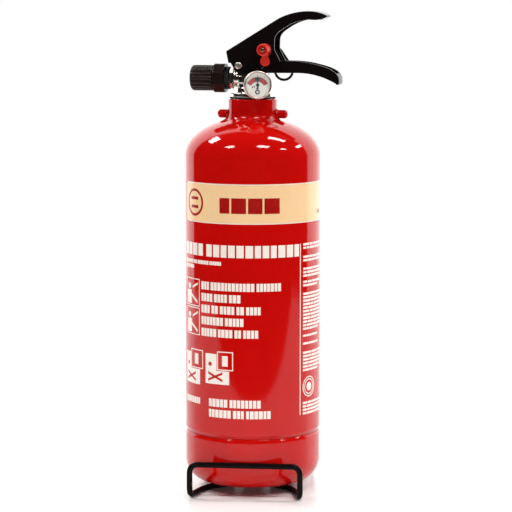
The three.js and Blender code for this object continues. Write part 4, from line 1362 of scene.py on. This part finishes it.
LAMP_HEIGHT = 2.0
LAMP_RADIANCE = 26.0
LAMP_COLOR = (1.0, 0.985, 0.96)
LAMPS = (  # across and towards the camera, then width and depth, in metres
    (-1.42, -0.62, 0.70, 0.50),
    (-1.18, 0.90, 0.55, 0.32),
    (0.52, 1.08, 0.60, 0.36),
    (0.82, -0.12, 0.70, 0.22),
    (2.00, 1.02, 0.50, 0.30),
    (2.57, -0.50, 0.50, 0.70),
)
FILL_SIZE = (1.6, 0.3)
FILL_WATTS = 20.0
FILL_DISTANCE = 2.4
FILL_HEIGHT = 0.2
FILL_AIM_Z = 0.05


def camera_frame():
    """Directions across the view and towards the camera, level with the floor."""
    across = Vector((math.cos(CAMERA_AZIMUTH), math.sin(CAMERA_AZIMUTH), 0))
    towards = Vector((math.sin(CAMERA_AZIMUTH), -math.cos(CAMERA_AZIMUTH), 0))
    return across, towards


def build_camera():
    _, towards = camera_frame()
    data = bpy.data.cameras.new("camera")
    data.sensor_width = 36.0
    data.lens = CAMERA_LENS
    data.clip_end = 200.0
    camera = add_object("camera", data)
    camera.location = towards * CAMERA_DISTANCE + Vector((0, 0, CAMERA_HEIGHT))
    camera.rotation_euler = (math.radians(90) - CAMERA_PITCH, 0, CAMERA_AZIMUTH - CAMERA_TURN)
    bpy.context.scene.camera = camera


def build_floor():
    across, towards = camera_frame()
    corners = [
        towards * FLOOR_FRONT - across * FLOOR_SIDE,
        towards * FLOOR_FRONT + across * FLOOR_SIDE,
        -towards * FLOOR_BACK + across * FLOOR_SIDE,
        -towards * FLOOR_BACK - across * FLOOR_SIDE,
    ]
    floor = mesh_object("floor", [c / MM for c in corners], [(0, 1, 2, 3)])
    paper = finish_material(
        "floor_paper", (0.86, 0.86, 0.86), 0.32, tint=0.005, patch=4, grain=300, relief=0.01
    )
    floor.data.materials.append(paper)


def area_lamp(name, width, depth, watts):
    data = bpy.data.lights.new(name, "AREA")
    data.shape = "RECTANGLE"
    data.size = width
    data.size_y = depth
    data.energy = watts
    return add_object(name, data)


def build_lamps():
    across, towards = camera_frame()
    for i, (side, front, width, depth) in enumerate(LAMPS):
        lamp = area_lamp(f"lamp_{i}", width, depth, LAMP_RADIANCE * width * depth * math.pi)
        lamp.data.color = LAMP_COLOR
        lamp.location = across * side + towards * front + Vector((0, 0, LAMP_HEIGHT))
        lamp.rotation_euler = (0, 0, CAMERA_AZIMUTH)


def build_fill():
    """A weak soft light low in front. It doesn't show in the gloss."""
    fill = area_lamp("fill", *FILL_SIZE, FILL_WATTS)
    fill.location = camera_frame()[1] * FILL_DISTANCE + Vector((0, 0, FILL_HEIGHT))
    aim = Vector((0, 0, FILL_AIM_Z)) - fill.location
    fill.rotation_euler = aim.to_track_quat("-Z", "Y").to_euler()
    fill.visible_glossy = False


def build_world():
    """A white wall behind the object. The rest of the room, round the camera, is dim."""
    across, towards = camera_frame()
    dim_side = towards * math.cos(DIM_TURN) - across * math.sin(DIM_TURN)
    world = bpy.data.worlds.new("studio")
    bpy.context.scene.world = world
    world.use_nodes = True
    nodes = world.node_tree.nodes
    link = world.node_tree.links.new
    coordinates = nodes.new("ShaderNodeTexCoord")
    facing = nodes.new("ShaderNodeVectorMath")
    facing.operation = "DOT_PRODUCT"
    facing.inputs[1].default_value = dim_side
    link(coordinates.outputs["Generated"], facing.inputs[0])
    walls = nodes.new("ShaderNodeMapRange")
    walls.interpolation_type = "SMOOTHSTEP"
    set_inputs(walls, {"From Min": DIM_EDGE[0], "From Max": DIM_EDGE[1]})
    set_inputs(walls, {"To Min": DIM_STRENGTH, "To Max": WALL_STRENGTH})
    link(facing.outputs["Value"], walls.inputs["Value"])
    path = nodes.new("ShaderNodeLightPath")
    seen = nodes.new("ShaderNodeMix")  # plain white where nothing else stands behind the object
    link(path.outputs["Is Camera Ray"], seen.inputs["Factor"])
    link(walls.outputs["Result"], seen.inputs["A"])
    set_inputs(seen, {"B": 1.0})
    background = nodes["Background"]
    set_inputs(background, {"Color": (1, 1, 1, 1)})
    link(seen.outputs["Result"], background.inputs["Strength"])


bpy.context.scene.view_settings.view_transform = "Standard"
build_cylinder()
build_print()
build_band()
build_valve()
build_nozzle()
build_gauge()
build_lever()
build_handle()
build_pin()
build_seal()
build_stand()
paint_kept_nodes()
build_camera()
build_floor()
build_lamps()
build_fill()
build_world()
